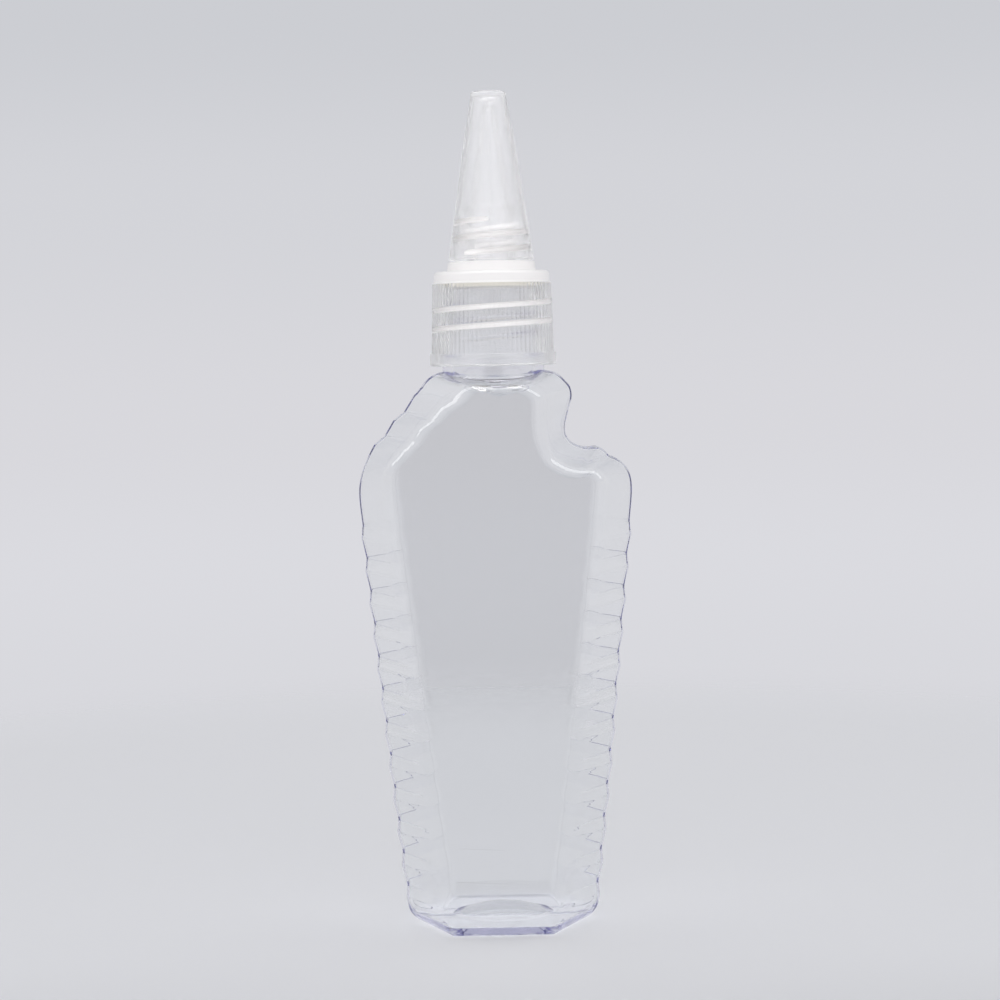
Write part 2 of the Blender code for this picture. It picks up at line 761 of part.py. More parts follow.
def make_closure(parts, cutters, material):
    closure = add_piece(
        "nozzle_closure", profile_mesh("nozzle_closure", closure_profile(), True), parts,
        CLOSURE_RIM, material,
    )
    turn(closure, CAP_STEPS)

    grooves = add_cutter("knurl_grooves", knurl_grooves(), cutters, CLOSURE_RIM)
    combine(closure, grooves, "DIFFERENCE")

    climbed = NECK_THREAD_PITCH * (CLOSURE_THREAD_START - NECK_THREAD_START) / (2 * math.pi)
    start = NECK_THREAD_BOTTOM + climbed - RIDGE_FLANK_STEP - CLOSURE_RIM
    inner_ridge = add_cutter("closure_thread", thread_ridge(
        "closure_thread", lambda height: CLOSURE_BORE_RADIUS, CLOSURE_CREST_RADIUS,
        NECK_THREAD_PITCH, start, CLOSURE_THREAD_START, CLOSURE_THREAD_TURNS,
    ), cutters, CLOSURE_RIM)
    combine(closure, inner_ridge, "UNION")

    spigot_ridge = add_cutter("spigot_thread", thread_ridge(
        "spigot_thread", lambda height: SPIGOT_RADIUS, SPIGOT_RADIUS + SPIGOT_THREAD_DEPTH,
        OVERCAP_THREAD_PITCH, OVERCAP_RIM + OVERCAP_THREAD_HEIGHT + RIDGE_FLANK_STEP - CLOSURE_RIM,
        OVERCAP_THREAD_START, SPIGOT_THREAD_TURNS,
    ), cutters, CLOSURE_RIM)
    combine(closure, spigot_ridge, "UNION")
    return closure


def overcap_outer(height):
    """Radius of the overcap's outer cone below its step."""
    taper = (OVERCAP_RIM_RADIUS - OVERCAP_TOP_RADIUS - OVERCAP_STEP) / OVERCAP_HEIGHT
    return OVERCAP_RIM_RADIUS - taper * height


def overcap_inner(height):
    return overcap_outer(height) - OVERCAP_WALL


def overcap_profile():
    top = OVERCAP_HEIGHT
    step = top - OVERCAP_STEP_DROP
    ceiling = top - OVERCAP_ROOF
    outside = [(0.0, top)]
    outside += round_corner(
        OVERCAP_TOP_RADIUS - OVERCAP_TOP_ROUND, overcap_outer(top - OVERCAP_TOP_ROUND) - OVERCAP_STEP,
        top, top - OVERCAP_TOP_ROUND,
    )
    outside += [
        (overcap_outer(step) - OVERCAP_STEP, step + OVERCAP_STEP),
        (overcap_outer(step), step),
        (OVERCAP_RIM_RADIUS, 0.0),
    ]
    inside = [
        (overcap_inner(0.0), 0.0),
        (overcap_inner(ceiling), ceiling),
        (0.0, ceiling),
    ]
    return outside + inside


def overcap_ribs():
    """Four fine ribs up the cone, each from the rim to the step, sunk into the wall."""
    step = OVERCAP_HEIGHT - OVERCAP_STEP_DROP
    sunk = OVERCAP_WALL / 2
    bm = bmesh.new()
    for i in range(OVERCAP_RIBS):
        angle = 2 * math.pi * i / OVERCAP_RIBS
        ends = []
        for z in (SEAT_GAP, step):
            outer = overcap_outer(z)
            stand = OVERCAP_RIB_STAND
            corners = []
            for out, aside in (
                (outer - sunk, -OVERCAP_RIB_WIDTH / 2), (outer + stand, -OVERCAP_RIB_WIDTH / 4),
                (outer + stand, OVERCAP_RIB_WIDTH / 4), (outer - sunk, OVERCAP_RIB_WIDTH / 2),
            ):
                corners.append(bm.verts.new((
                    out * math.cos(angle) - aside * math.sin(angle),
                    out * math.sin(angle) + aside * math.cos(angle),
                    z,
                )))
            ends.append(corners)
        bottom, upper = ends
        for a in range(4):
            b = (a + 1) % 4
            bm.faces.new((bottom[a], bottom[b], upper[b], upper[a]))
        bm.faces.new(bottom[::-1])
        bm.faces.new(upper)
    bmesh.ops.recalc_face_normals(bm, faces=bm.faces)
    return mesh_of("overcap_ribs", bm)


def make_overcap(parts, cutters, material):
    overcap = add_piece(
        "overcap", profile_mesh("overcap", overcap_profile(), False), parts, OVERCAP_RIM, material
    )
    turn(overcap, CAP_STEPS)
    ribs = add_cutter("overcap_ribs", overcap_ribs(), cutters, OVERCAP_RIM)
    combine(overcap, ribs, "UNION")
    ridge = add_cutter("overcap_thread", thread_ridge(
        "overcap_thread", overcap_inner, OVERCAP_CREST_RADIUS, OVERCAP_THREAD_PITCH,
        OVERCAP_THREAD_HEIGHT, OVERCAP_THREAD_START, OVERCAP_THREAD_TURNS,
    ), cutters, OVERCAP_RIM)
    combine(overcap, ridge, "UNION")
    return overcap


def make_seal_pin(parts, material):
    """The pin that stops the orifice, its hub just under the overcap's roof."""
    foot = NOZZLE_TIP - PIN_REACH
    top = PIN_TOP - foot
    pin = add_piece("overcap_seal_pin", profile_mesh("overcap_seal_pin", [
        (0.0, top),
        (PIN_HUB_RADIUS, top),
        (PIN_HUB_RADIUS, top - PIN_HUB_THICKNESS),
        (PIN_RADIUS, top - PIN_HUB_THICKNESS),
        (PIN_RADIUS, PIN_RADIUS / 2),
        (PIN_RADIUS / 2, 0.0),
        (0.0, 0.0),
    ], False), parts, foot, material)
    turn(pin, PIN_STEPS)
    return pin


clear_scene()
parts_collection = new_collection("nozzle_bottle")
cutter_collection = new_collection("cutters")
make_bottle(
    parts_collection, cutter_collection,
    plastic("clear_bottle_plastic", (0.86, 0.88, 0.94), 0.04, 0.95, 1.57),
)
make_liner(parts_collection, plastic("cream_foam", (0.93, 0.92, 0.84), 0.7, 0.0, 1.45))
make_closure(
    parts_collection, cutter_collection,
    plastic("milky_closure_plastic", (0.90, 0.91, 0.93), 0.3, 0.6, 1.49),
)
make_overcap(
    parts_collection, cutter_collection,
    plastic("milky_overcap_plastic", (0.92, 0.92, 0.94), 0.3, 0.6, 1.49),
)
make_seal_pin(parts_collection, plastic("milky_pin_plastic", (0.94, 0.94, 0.94), 0.4, 0.3, 1.49))
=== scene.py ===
"""Looks of the clear nozzle bottle with its screw nozzle closure and its long screw overcap.

The pieces follow in the order in which the object is put together. Metres, +Z up, front -Y.
"""
import math

import bmesh
import bpy
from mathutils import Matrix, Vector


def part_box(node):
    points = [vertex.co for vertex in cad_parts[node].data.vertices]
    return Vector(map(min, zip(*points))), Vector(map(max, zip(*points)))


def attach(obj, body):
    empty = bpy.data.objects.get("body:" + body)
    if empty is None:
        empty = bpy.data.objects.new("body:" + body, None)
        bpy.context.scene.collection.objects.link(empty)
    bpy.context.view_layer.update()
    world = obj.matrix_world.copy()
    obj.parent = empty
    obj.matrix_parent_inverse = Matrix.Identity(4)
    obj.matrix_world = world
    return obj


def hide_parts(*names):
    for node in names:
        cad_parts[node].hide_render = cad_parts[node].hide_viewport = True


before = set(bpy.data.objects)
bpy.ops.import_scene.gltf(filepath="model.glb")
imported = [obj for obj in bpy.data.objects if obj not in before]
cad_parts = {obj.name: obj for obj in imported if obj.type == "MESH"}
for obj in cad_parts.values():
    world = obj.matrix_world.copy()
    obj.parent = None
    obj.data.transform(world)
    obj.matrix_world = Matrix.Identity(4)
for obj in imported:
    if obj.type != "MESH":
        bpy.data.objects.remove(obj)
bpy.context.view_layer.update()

# Bottle: one blow-moulded shell of clear, faintly blue polyester, with bevelled and rippled
# sides, a finger notch and a pushed-up base. The neck finish with its thread is moulded first,
# and the body is blown out below it, so its wall is thickest at the heel and the shoulder.
BODY_HEIGHT = 0.1025
BODY_HALF_WIDTH = 0.0255
BODY_HALF_DEPTH = 0.0135
SIDE_EDGE_HALF_THICKNESS = 0.0027
FOOT_HALF_WIDTH = 0.0125
FOOT_HALF_DEPTH = 0.0124
FOOT_CORNER_HALF_WIDTH = 0.0077
HEEL_HALF_WIDTH = 0.0175
HEEL_HEIGHT = 0.0047
PANEL_FOOT_HALF_WIDTH = 0.0103
PANEL_FOOT_HEIGHT = 0.0068
PANEL_CORNER_HEIGHT = 0.0087
BODY_WALL = 0.0008
FLOOR_THICKNESS = 0.0012
FLOOR_BLEND = 0.0012
PUSH_UP_HALF_WIDTH = 0.0095
PUSH_UP_HALF_DEPTH = 0.0075
PUSH_UP_HEIGHT = 0.0018
DOME_SEGMENTS = 96
DOME_RINGS = 192
TRACE_STEPS = 24
MERGE = 0.000005
OVERRUN = 0.002

# Ripples down the sides: each falls gently from its crest to a crease and climbs back steeply,
# by these shares of its height, one column of points after another
RIPPLE_CLIMB = (0.0, 0.30, 0.40, 0.50, 0.60, 0.70, 0.94, 1.0)
RIPPLE_HEIGHT = 0.00056
RIPPLE_COLUMNS = 18
RIPPLE_CLIMB_SHARE = (len(RIPPLE_CLIMB) - 1) / RIPPLE_COLUMNS
SIDE_RIPPLES = 12
SIDE_RIPPLE_PITCH = 0.00613
OUTLINE_STEP = SIDE_RIPPLE_PITCH / RIPPLE_COLUMNS
SHOULDER_RIPPLE_COLUMNS = 17
SHOULDER_RIPPLE_PITCH = SHOULDER_RIPPLE_COLUMNS * OUTLINE_STEP
PANEL_RIPPLE_SHARE = 0.6
CAVITY_RIPPLE_SHARE = 0.9

# Levels from the side edge (share 0) to the panel's edge (share 1) and onto the panel
EDGE_ROUND_SHARES = (0.0, 0.3, 0.55, 0.75, 0.9)
EDGE_ROUND_DROP_SHARES = (0.0, 0.02, 0.08, 0.2, 0.45)
EDGE_ROUND_DROP = 0.0005
BEVEL_SHARES = (0.02, 0.1, 0.3, 0.5, 0.7, 0.8)
FILLET_SHARES = (0.84, 1.0, 1.3)
CAVITY_BEVEL_SHARES = (0.0, 0.03, 0.25, 0.5, 0.7)
CAVITY_FILLET_SHARES = (0.82, 1.0, 1.27)
PANEL_BORDER_SHARE = 0.05
FILLET_STEPS = 12
CAVITY_FILLET_STEPS = 8
FILLET_CROWDING = 1.25
PANEL_EDGE_REACH = 0.0054
HEEL_STEPS = 16
FOOT_STEPS = 40
HEEL_CURVE = 1.9

# Stations down the left side and up the right one: the silhouette's point and the panel
# outline's point beside it, x as a share of BODY_HALF_WIDTH, z of BODY_HEIGHT
LEFT_STATION_SHARES = (
    (0.000, 1.000, 0.020, 0.975),
    (-0.376, 1.000, -0.165, 0.975),
    (-0.443, 0.995, -0.208, 0.969),
    (-0.506, 0.983, -0.251, 0.958),
    (-0.575, 0.955, -0.349, 0.938),
    (-0.725, 0.910, -0.506, 0.902),
    (-0.876, 0.864, -0.651, 0.859),
    (-0.955, 0.835, -0.741, 0.839),
    (-0.988, 0.808, -0.773, 0.821),
    (-1.000, 0.780, -0.778, 0.785),
    (-0.969, 0.700, -0.742, 0.700),
    (-0.792, 0.270, -0.528, 0.270),
    (-0.708, 0.087, -0.430, 0.103),
)
RIGHT_STATION_SHARES = (
    (0.708, 0.087, 0.430, 0.103),
    (0.792, 0.270, 0.528, 0.270),
    (0.969, 0.700, 0.742, 0.700),
    (1.000, 0.780, 0.778, 0.780),
    (0.992, 0.804, 0.778, 0.801),
    (0.961, 0.822, 0.749, 0.813),
    (0.898, 0.836, 0.722, 0.820),
    (0.839, 0.843, 0.690, 0.823),
    (0.800, 0.853, 0.659, 0.824),
    (0.753, 0.859, 0.627, 0.824),
    (0.690, 0.858, 0.592, 0.824),
    (0.612, 0.862, 0.533, 0.826),
    (0.553, 0.871, 0.478, 0.832),
    (0.522, 0.885, 0.416, 0.842),
    (0.520, 0.900, 0.369, 0.864),
    (0.545, 0.926, 0.343, 0.898),
    (0.573, 0.952, 0.345, 0.937),
    (0.565, 0.968, 0.333, 0.953),
    (0.529, 0.980, 0.302, 0.962),
    (0.467, 0.994, 0.259, 0.969),
    (0.376, 1.000, 0.212, 0.974),
    (0.000, 1.000, 0.020, 0.975),
)
LEFT_SHOULDER_RIPPLE_STATION = 5
LEFT_SIDE_RIPPLE_STATION = 10
LEFT_STRAIGHT_STATION = 11
RIGHT_STRAIGHT_STATION = 2
RIGHT_SIDE_RIPPLE_STATION = 3

NECK_RADIUS = 0.0091
NECK_BORE_RADIUS = 0.0077
NECK_COLLAR_STAND = 0.00045
NECK_COLLAR_HEIGHT = 0.0026
NECK_ROOT = 0.0045
NECK_FLARE = 0.0016
NECK_FLARE_REACH = math.radians(80)
NECK_FLARE_STEPS = 8
NECK_FLARE_DROP = 0.0004
BORE_FLARE = 0.0013
BORE_FLARE_REACH = math.radians(75)
NECK_LIP = 0.0004
NECK_LIP_ROUND = NECK_LIP * 0.3
NECK_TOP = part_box("neck_liner")[0][2] - 0.0003
NECK_STEPS = 128
THREAD_CREST_RADIUS = 0.00985
THREAD_PITCH = 0.0035
THREAD_DROP = 0.0025
THREAD_START = math.radians(225)
THREAD_TURNS = 2.0
RIDGE_FOOT_HALF = 0.0006
RIDGE_CREST_HALF = 0.00022
RIDGE_ROUND = 0.00012
RIDGE_SINK = 0.0003
RIDGE_RUN_OUT = math.radians(40)
RIDGE_STEPS = 72


def add(name, primitive, **settings):
    """Add one primitive with nothing else selected, and leave it active."""
    if bpy.context.object and bpy.context.object.mode == "EDIT":
        bpy.ops.object.mode_set(mode="OBJECT")
    bpy.ops.object.select_all(action="DESELECT")
    primitive(**settings)
    piece = bpy.context.object
    piece.name = piece.data.name = name
    return piece


def loop_of(name, points):
    """A closed loop of edges through these points, begun as a circle."""
    loop = add(name, bpy.ops.mesh.primitive_circle_add, vertices=len(points), radius=0.01)
    for vertex, point in zip(loop.data.vertices, points):
        vertex.co = point
    return loop


def pick(piece):
    """Select this piece alone and make it active."""
    bpy.ops.object.select_all(action="DESELECT")
    piece.select_set(True)
    bpy.context.view_layer.objects.active = piece


def edit(piece, select="SELECT"):
    """Enter edit mode on this piece, with all of it selected or nothing."""
    pick(piece)
    bpy.ops.object.mode_set(mode="EDIT")
    bpy.ops.mesh.select_all(action=select)


def leave_edit():
    bpy.ops.object.mode_set(mode="OBJECT")


def tidy_shell(piece):
    """Merge what meets and turn the faces of a closed solid outwards."""
    edit(piece)
    bpy.ops.mesh.remove_doubles(threshold=MERGE)
    bpy.ops.mesh.delete_loose()
    bpy.ops.mesh.select_all(action="SELECT")
    bpy.ops.mesh.normals_make_consistent(inside=False)
    leave_edit()


def apply(piece, kind, **settings):
    """Add one modifier with these settings and apply it."""
    pick(piece)
    modifier = piece.modifiers.new(kind.lower(), kind)
    for key, value in settings.items():
        setattr(modifier, key, value)
    bpy.ops.object.modifier_apply(modifier=modifier.name)


def cut_or_join(piece, other, operation, **settings):
    """Apply an exact Boolean with another solid, and remove that solid."""
    apply(piece, "BOOLEAN", object=other, operation=operation, solver="EXACT", **settings)
    bpy.data.objects.remove(other, do_unlink=True)


def turned(name, points, steps):
    """A solid of revolution round the Z axis: a closed wall section, spun once round."""
    piece = loop_of(name, [(radius, 0.0, z) for radius, z in points])
    edit(piece)
    bpy.ops.mesh.spin(steps=steps, angle=math.tau, center=(0, 0, 0), axis=(0, 0, 1))
    leave_edit()
    tidy_shell(piece)
    return piece


def smooth(piece, degrees):
    """Shade this piece smooth, except at edges sharper than this."""
    pick(piece)
    bpy.ops.object.shade_smooth_by_angle(angle=math.radians(degrees))


def between(start, end, share):
    return start + (end - start) * share


def spline(knots, interval, t):
    """A centripetal Catmull-Rom curve through 2D knots, at t of one interval."""
    def knot(i):
        if i < 0:
            return tuple(2 * a - b for a, b in zip(knots[0], knots[1]))
        if i >= len(knots):
            return tuple(2 * a - b for a, b in zip(knots[-1], knots[-2]))
        return knots[i]

    def mix(a, b, start, end, at):
        share = (at - start) / (end - start)
        return tuple(between(p, q, share) for p, q in zip(a, b))

    p0, p1, p2, p3 = (knot(interval + i) for i in (-1, 0, 1, 2))
    times = [0.0]
    for a, b in ((p0, p1), (p1, p2), (p2, p3)):
        times.append(times[-1] + max(math.sqrt(math.dist(a, b)), MERGE))
    t0, t1, t2, t3 = times
    at = t1 + (t2 - t1) * t
    a1, a2, a3 = mix(p0, p1, t0, t1, at), mix(p1, p2, t1, t2, at), mix(p2, p3, t2, t3, at)
    b1, b2 = mix(a1, a2, t0, t2, at), mix(a2, a3, t1, t3, at)
    return mix(b1, b2, t1, t2, at)


def stations(shares):
    silhouette = [(BODY_HALF_WIDTH * s[0], BODY_HEIGHT * s[1]) for s in shares]
    panel = [(BODY_HALF_WIDTH * s[2], BODY_HEIGHT * s[3]) for s in shares]
    return silhouette, panel


def ripple(turns):
    """One ripple's height share, this many pitches below its crest."""
    if turns >= 0:
        return max(0.0, 1 - turns / (1 - RIPPLE_CLIMB_SHARE))
    column = max(0.0, RIPPLE_CLIMB_SHARE + turns) * RIPPLE_COLUMNS
    low = min(int(column), len(RIPPLE_CLIMB) - 2)
    return between(RIPPLE_CLIMB[low], RIPPLE_CLIMB[low + 1], column - low)


def swell_at(distance, trains):
    """How far the silhouette swells here; each train is (peak, pitch, first, last, down)."""
    swell = 0.0
    for peak, pitch, first, last, down in trains:
        turns = (distance - peak) / pitch
        for crest in range(first, last + 1):
            swell += RIPPLE_HEIGHT * ripple((turns - crest) * down)
    return swell


def trace(silhouette, panel, phase_station, trains_of, straight):
    """Points along a run of stations at even steps, as (outline, panel, swell, lifted)."""
    places, lengths = [], []
    length = 0.0
    last = silhouette[0]
    for interval in range(len(silhouette) - 1):
        for i in range(TRACE_STEPS):
            here = spline(silhouette, interval, i / TRACE_STEPS)
            length += math.dist(last, here)
            last = here
            places.append(interval + i / TRACE_STEPS)
            lengths.append(length)
    length += math.dist(last, silhouette[-1])
    trains = trains_of(lambda station: lengths[station * TRACE_STEPS])
    phase = lengths[phase_station * TRACE_STEPS] % OUTLINE_STEP
    found = []
    place = 0
    for i in range(int((length - phase) / OUTLINE_STEP) + 1):
        distance = phase + i * OUTLINE_STEP
        while place + 1 < len(lengths) and lengths[place + 1] <= distance:
            place += 1
        where = places[place]
        if place + 1 < len(lengths):
            span = lengths[place + 1] - lengths[place]
            where += (distance - lengths[place]) / span / TRACE_STEPS
        interval = int(where)
        found.append((
            spline(silhouette, interval, where - interval),
            spline(panel, interval, where - interval),
            swell_at(distance, trains),
            straight(where),
        ))
    return found


def left_run():
    silhouette, panel = stations(LEFT_STATION_SHARES)
    silhouette.append((-HEEL_HALF_WIDTH, HEEL_HEIGHT))
    panel.append((-PANEL_FOOT_HALF_WIDTH, PANEL_CORNER_HEIGHT))

    def trains(length_at):
        side = length_at(LEFT_SIDE_RIPPLE_STATION)
        slope = length_at(LEFT_SHOULDER_RIPPLE_STATION)
        return [
            (side, SIDE_RIPPLE_PITCH, 0, SIDE_RIPPLES - 1, 1),
            (slope, SHOULDER_RIPPLE_PITCH, -1, 1, 1),
        ]

    return trace(
        silhouette, panel, LEFT_SIDE_RIPPLE_STATION, trains,
        lambda where: where > LEFT_STRAIGHT_STATION,
    )


def right_run():
    silhouette, panel = stations(RIGHT_STATION_SHARES)
    silhouette.insert(0, (HEEL_HALF_WIDTH, HEEL_HEIGHT))
    panel.insert(0, (PANEL_FOOT_HALF_WIDTH, PANEL_CORNER_HEIGHT))

    def trains(length_at):
        side = length_at(RIGHT_SIDE_RIPPLE_STATION)
        return [(side, SIDE_RIPPLE_PITCH, 1 - SIDE_RIPPLES, 0, -1)]

    return trace(
        silhouette, panel, RIGHT_SIDE_RIPPLE_STATION, trains,
        lambda where: where < RIGHT_STRAIGHT_STATION,
    )


def heel(side, swell, angles):
    """The quarter round at one lower corner, from the side (0) to the foot (90 degrees)."""
    points = []
    for angle in angles:
        out, down = math.cos(angle), 1 - math.sin(angle)
        outline = (
            side * between(FOOT_HALF_WIDTH, HEEL_HALF_WIDTH, out),
            HEEL_HEIGHT * down,
        )
        panel = (
            side * between(FOOT_CORNER_HALF_WIDTH, PANEL_FOOT_HALF_WIDTH, out),
            between(PANEL_FOOT_HEIGHT, PANEL_CORNER_HEIGHT, down),
        )
        points.append((outline, panel, swell * out, True))
    return points


def whole_outline():
    """The front view's closed outline, from the top centre round by the left side."""
    left = left_run()
    right = right_run()
    quarter = math.radians(90)
    angles = [quarter * i / HEEL_STEPS for i in range(1, HEEL_STEPS + 1)]
    foot = []
    for i in range(1, FOOT_STEPS):
        across = 2 * i / FOOT_STEPS - 1
        foot.append((
            (FOOT_HALF_WIDTH * across, 0.0),
            (FOOT_CORNER_HALF_WIDTH * across, PANEL_FOOT_HEIGHT),
            0.0,
            True,
        ))
    return (
        left + heel(-1, left[-1][2], angles) + foot + heel(1, right[0][2], angles[::-1]) + right
    )


def outward(loop):
    """Unit normals of a closed loop that runs anticlockwise."""
    normals = []
    for i in range(len(loop)):
        ax, az = loop[i - 1]
        bx, bz = loop[(i + 1) % len(loop)]
        length = math.hypot(bx - ax, bz - az)
        normals.append(((bz - az) / length, (ax - bx) / length))
    return normals


def fillet(shares, depth_of, depth, steps):
    """(depth, share) from the bevel round onto the panel, as a quadratic curve."""
    start, corner, end = shares
    first = depth_of(start)
    found = []
    for i in range(steps + 1):
        t = (i / steps) ** FILLET_CROWDING
        a, b, c = (1 - t) ** 2, 2 * t * (1 - t), t ** 2
        found.append((a * first + (b + c) * depth, a * start + b * corner + c * end))
    return found + [(depth, end + PANEL_BORDER_SHARE)]


def heel_lift(depth, foot, panel_depth, share):
    """How far the front heel has climbed from the foot to the panel's lower edge."""
    if depth <= foot:
        return 0.0
    return max(share - 1, 0) + ((depth - foot) / (panel_depth - foot)) ** HEEL_CURVE


def rest_on(z, floor, blend):
    """This height, eased onto a floor that it doesn't pass below."""
    if blend == 0.0:
        return max(z, floor)
    if z >= floor + blend:
        return z
    over = max(0.0, z - floor + blend)
    return floor + over * over / (4 * blend)


def body_rings(levels, inset, ripples, floor, blend, foot, panel_depth):
    """Closed rings at each (depth, share, drop), the outline blended towards the panel's."""
    points = whole_outline()
    silhouette = [point[0] for point in points]
    panel = [point[1] for point in points]
    out_silhouette, out_panel = outward(silhouette), outward(panel)
    bevel_depth = panel_depth - SIDE_EDGE_HALF_THICKNESS
    rings = []
    for depth, share, drop in levels:
        lift = heel_lift(depth, foot, panel_depth, share)
        ring = []
        for i, (_, _, swell, lifted) in enumerate(points):
            stand = ripples * swell - inset - drop
            ox = silhouette[i][0] + out_silhouette[i][0] * stand
            oz = silhouette[i][1] + out_silhouette[i][1] * stand
            tilt = math.atan2(bevel_depth, math.dist(silhouette[i], panel[i]))
            panel_stand = ripples * swell * PANEL_RIPPLE_SHARE - inset * math.tan(tilt / 2)
            px = panel[i][0] + out_panel[i][0] * panel_stand
            pz = panel[i][1] + out_panel[i][1] * panel_stand
            across, climb = share, lift if lifted else share
            if share > 1:
                stretch = max(1.0, PANEL_EDGE_REACH / math.dist(silhouette[i], panel[i]))
                across = 1 + (share - 1) * stretch
                climb = climb if lifted else across
            ring.append((
                between(ox, px, across),
                -depth,
                rest_on(between(oz, pz, climb), floor, blend),
            ))
        rings.append(ring)
    return rings


def lofted(name, rings):
    """The front half of a body: the middle outline, extruded ring by ring to the panel."""
    half = loop_of(name, rings[0])
    edit(half)
    for ring in rings[1:]:
        bpy.ops.mesh.extrude_region_move()
        bm = bmesh.from_edit_mesh(half.data)
        front = [vertex for vertex in bm.verts if vertex.select]
        for vertex, point in zip(front, ring):
            vertex.co = point
        bmesh.update_edit_mesh(half.data)
    bpy.ops.mesh.edge_face_add()
    leave_edit()
    apply(half, "MIRROR", use_axis=(False, True, False), merge_threshold=MERGE)
    tidy_shell(half)
    return half


def dome(name, half_width, half_depth, height):
    """A shallow cap of a flattened ball that stands on z = 0, closed underneath."""
    radius = (half_width ** 2 + height ** 2) / (2 * height)
    cap = add(
        name, bpy.ops.mesh.primitive_uv_sphere_add, segments=DOME_SEGMENTS,
        ring_count=DOME_RINGS, radius=radius, location=(0.0, 0.0, height - radius),
    )
    edit(cap)
    bpy.ops.mesh.bisect(
        plane_co=(0.0, 0.0, -OVERRUN), plane_no=(0.0, 0.0, 1.0), use_fill=True, clear_inner=True,
    )
    leave_edit()
    cap.scale.y = half_depth / half_width
    bpy.ops.object.transform_apply(location=True, rotation=False, scale=True)
    tidy_shell(cap)
    return cap


def thread_ridge(name, root_of, crest, pitch, start_height, start_angle, turns):
    """A right-hand helical ridge from a wall to a crest radius, run out at both ends."""
    sink = RIDGE_SINK if crest < root_of(start_height) else -RIDGE_SINK
    inside = 1 if crest > root_of(start_height) else -1
    root = root_of(start_height) + sink
    section = [
        (root, -RIDGE_FOOT_HALF),
        (crest - inside * RIDGE_ROUND, -RIDGE_CREST_HALF - RIDGE_ROUND / 2),
        (crest, -RIDGE_CREST_HALF + RIDGE_ROUND / 2),
        (crest, RIDGE_CREST_HALF - RIDGE_ROUND / 2),
        (crest - inside * RIDGE_ROUND, RIDGE_CREST_HALF + RIDGE_ROUND / 2),
        (root, RIDGE_FOOT_HALF),
    ]
    ridge = loop_of(name, [(radius, 0.0, start_height + z) for radius, z in section])
    steps = int(turns * RIDGE_STEPS)
    apply(
        ridge, "SCREW", axis="Z", angle=math.tau * turns, screw_offset=pitch * turns,
        steps=steps, render_steps=steps, use_smooth_shade=False,
    )
    for vertex in ridge.data.vertices:
        turned_by = math.tau * turns * (vertex.index // len(section)) / steps
        left = min(turned_by, math.tau * turns - turned_by)
        stand = math.sin(math.radians(90) * min(1.0, left / RIDGE_RUN_OUT))
        rise = pitch * turned_by / math.tau
        wall = root_of(start_height + rise)
        radius = math.hypot(vertex.co.x, vertex.co.y)
        if abs(radius - root) < MERGE:
            wanted = wall + sink
        else:
            wanted = wall + sink / 2 + (radius - wall - sink / 2) * stand
        angle = start_angle + turned_by
        vertex.co.x, vertex.co.y = wanted * math.cos(angle), wanted * math.sin(angle)
    edit(ridge, "DESELECT")
    bpy.ops.mesh.select_mode(type="VERT")
    bpy.ops.mesh.select_non_manifold()
    bpy.ops.mesh.edge_face_add()
    leave_edit()
    tidy_shell(ridge)
    return ridge


def outer_depth(share):
    return between(SIDE_EDGE_HALF_THICKNESS, BODY_HALF_DEPTH, share)


def inner_depth(share):
    return between(SIDE_EDGE_HALF_THICKNESS, BODY_HALF_DEPTH - BODY_WALL, share)


levels = [
    (SIDE_EDGE_HALF_THICKNESS * share, 0.0, EDGE_ROUND_DROP * drop_share)
    for share, drop_share in zip(EDGE_ROUND_SHARES, EDGE_ROUND_DROP_SHARES)
]
levels += [(outer_depth(share), share, 0.0) for share in BEVEL_SHARES]
levels += [
    (*level, 0.0) for level in fillet(FILLET_SHARES, outer_depth, BODY_HALF_DEPTH, FILLET_STEPS)
]
bottle = lofted("clear_bottle", body_rings(
    levels, inset=0.0, ripples=1.0, floor=0.0, blend=0.0, foot=FOOT_HALF_DEPTH,
    panel_depth=BODY_HALF_DEPTH,
))

levels = [(0.0, 0.0, 0.0)]
levels += [(inner_depth(share), share, 0.0) for share in CAVITY_BEVEL_SHARES]
levels += [
    (*level, 0.0) for level in fillet(
        CAVITY_FILLET_SHARES, inner_depth, BODY_HALF_DEPTH - BODY_WALL, CAVITY_FILLET_STEPS,
    )
]
cavity = lofted("cavity", body_rings(
    levels, inset=BODY_WALL, ripples=CAVITY_RIPPLE_SHARE, floor=FLOOR_THICKNESS,
    blend=FLOOR_BLEND, foot=FOOT_HALF_DEPTH - BODY_WALL, panel_depth=BODY_HALF_DEPTH - BODY_WALL,
))
cut_or_join(cavity, dome(
    "floor_dome", PUSH_UP_HALF_WIDTH + FLOOR_THICKNESS, PUSH_UP_HALF_DEPTH + FLOOR_THICKNESS,
    PUSH_UP_HEIGHT + FLOOR_THICKNESS,
), "DIFFERENCE")


def flare(radius, height, size, reach):
    """A concave quarter round that opens outwards and down from a wall of this radius."""
    found = []
    for i in range(NECK_FLARE_STEPS + 1):
        angle = reach * i / NECK_FLARE_STEPS
        found.append((radius + size * (1 - math.cos(angle)), height - size * math.sin(angle)))
    return found


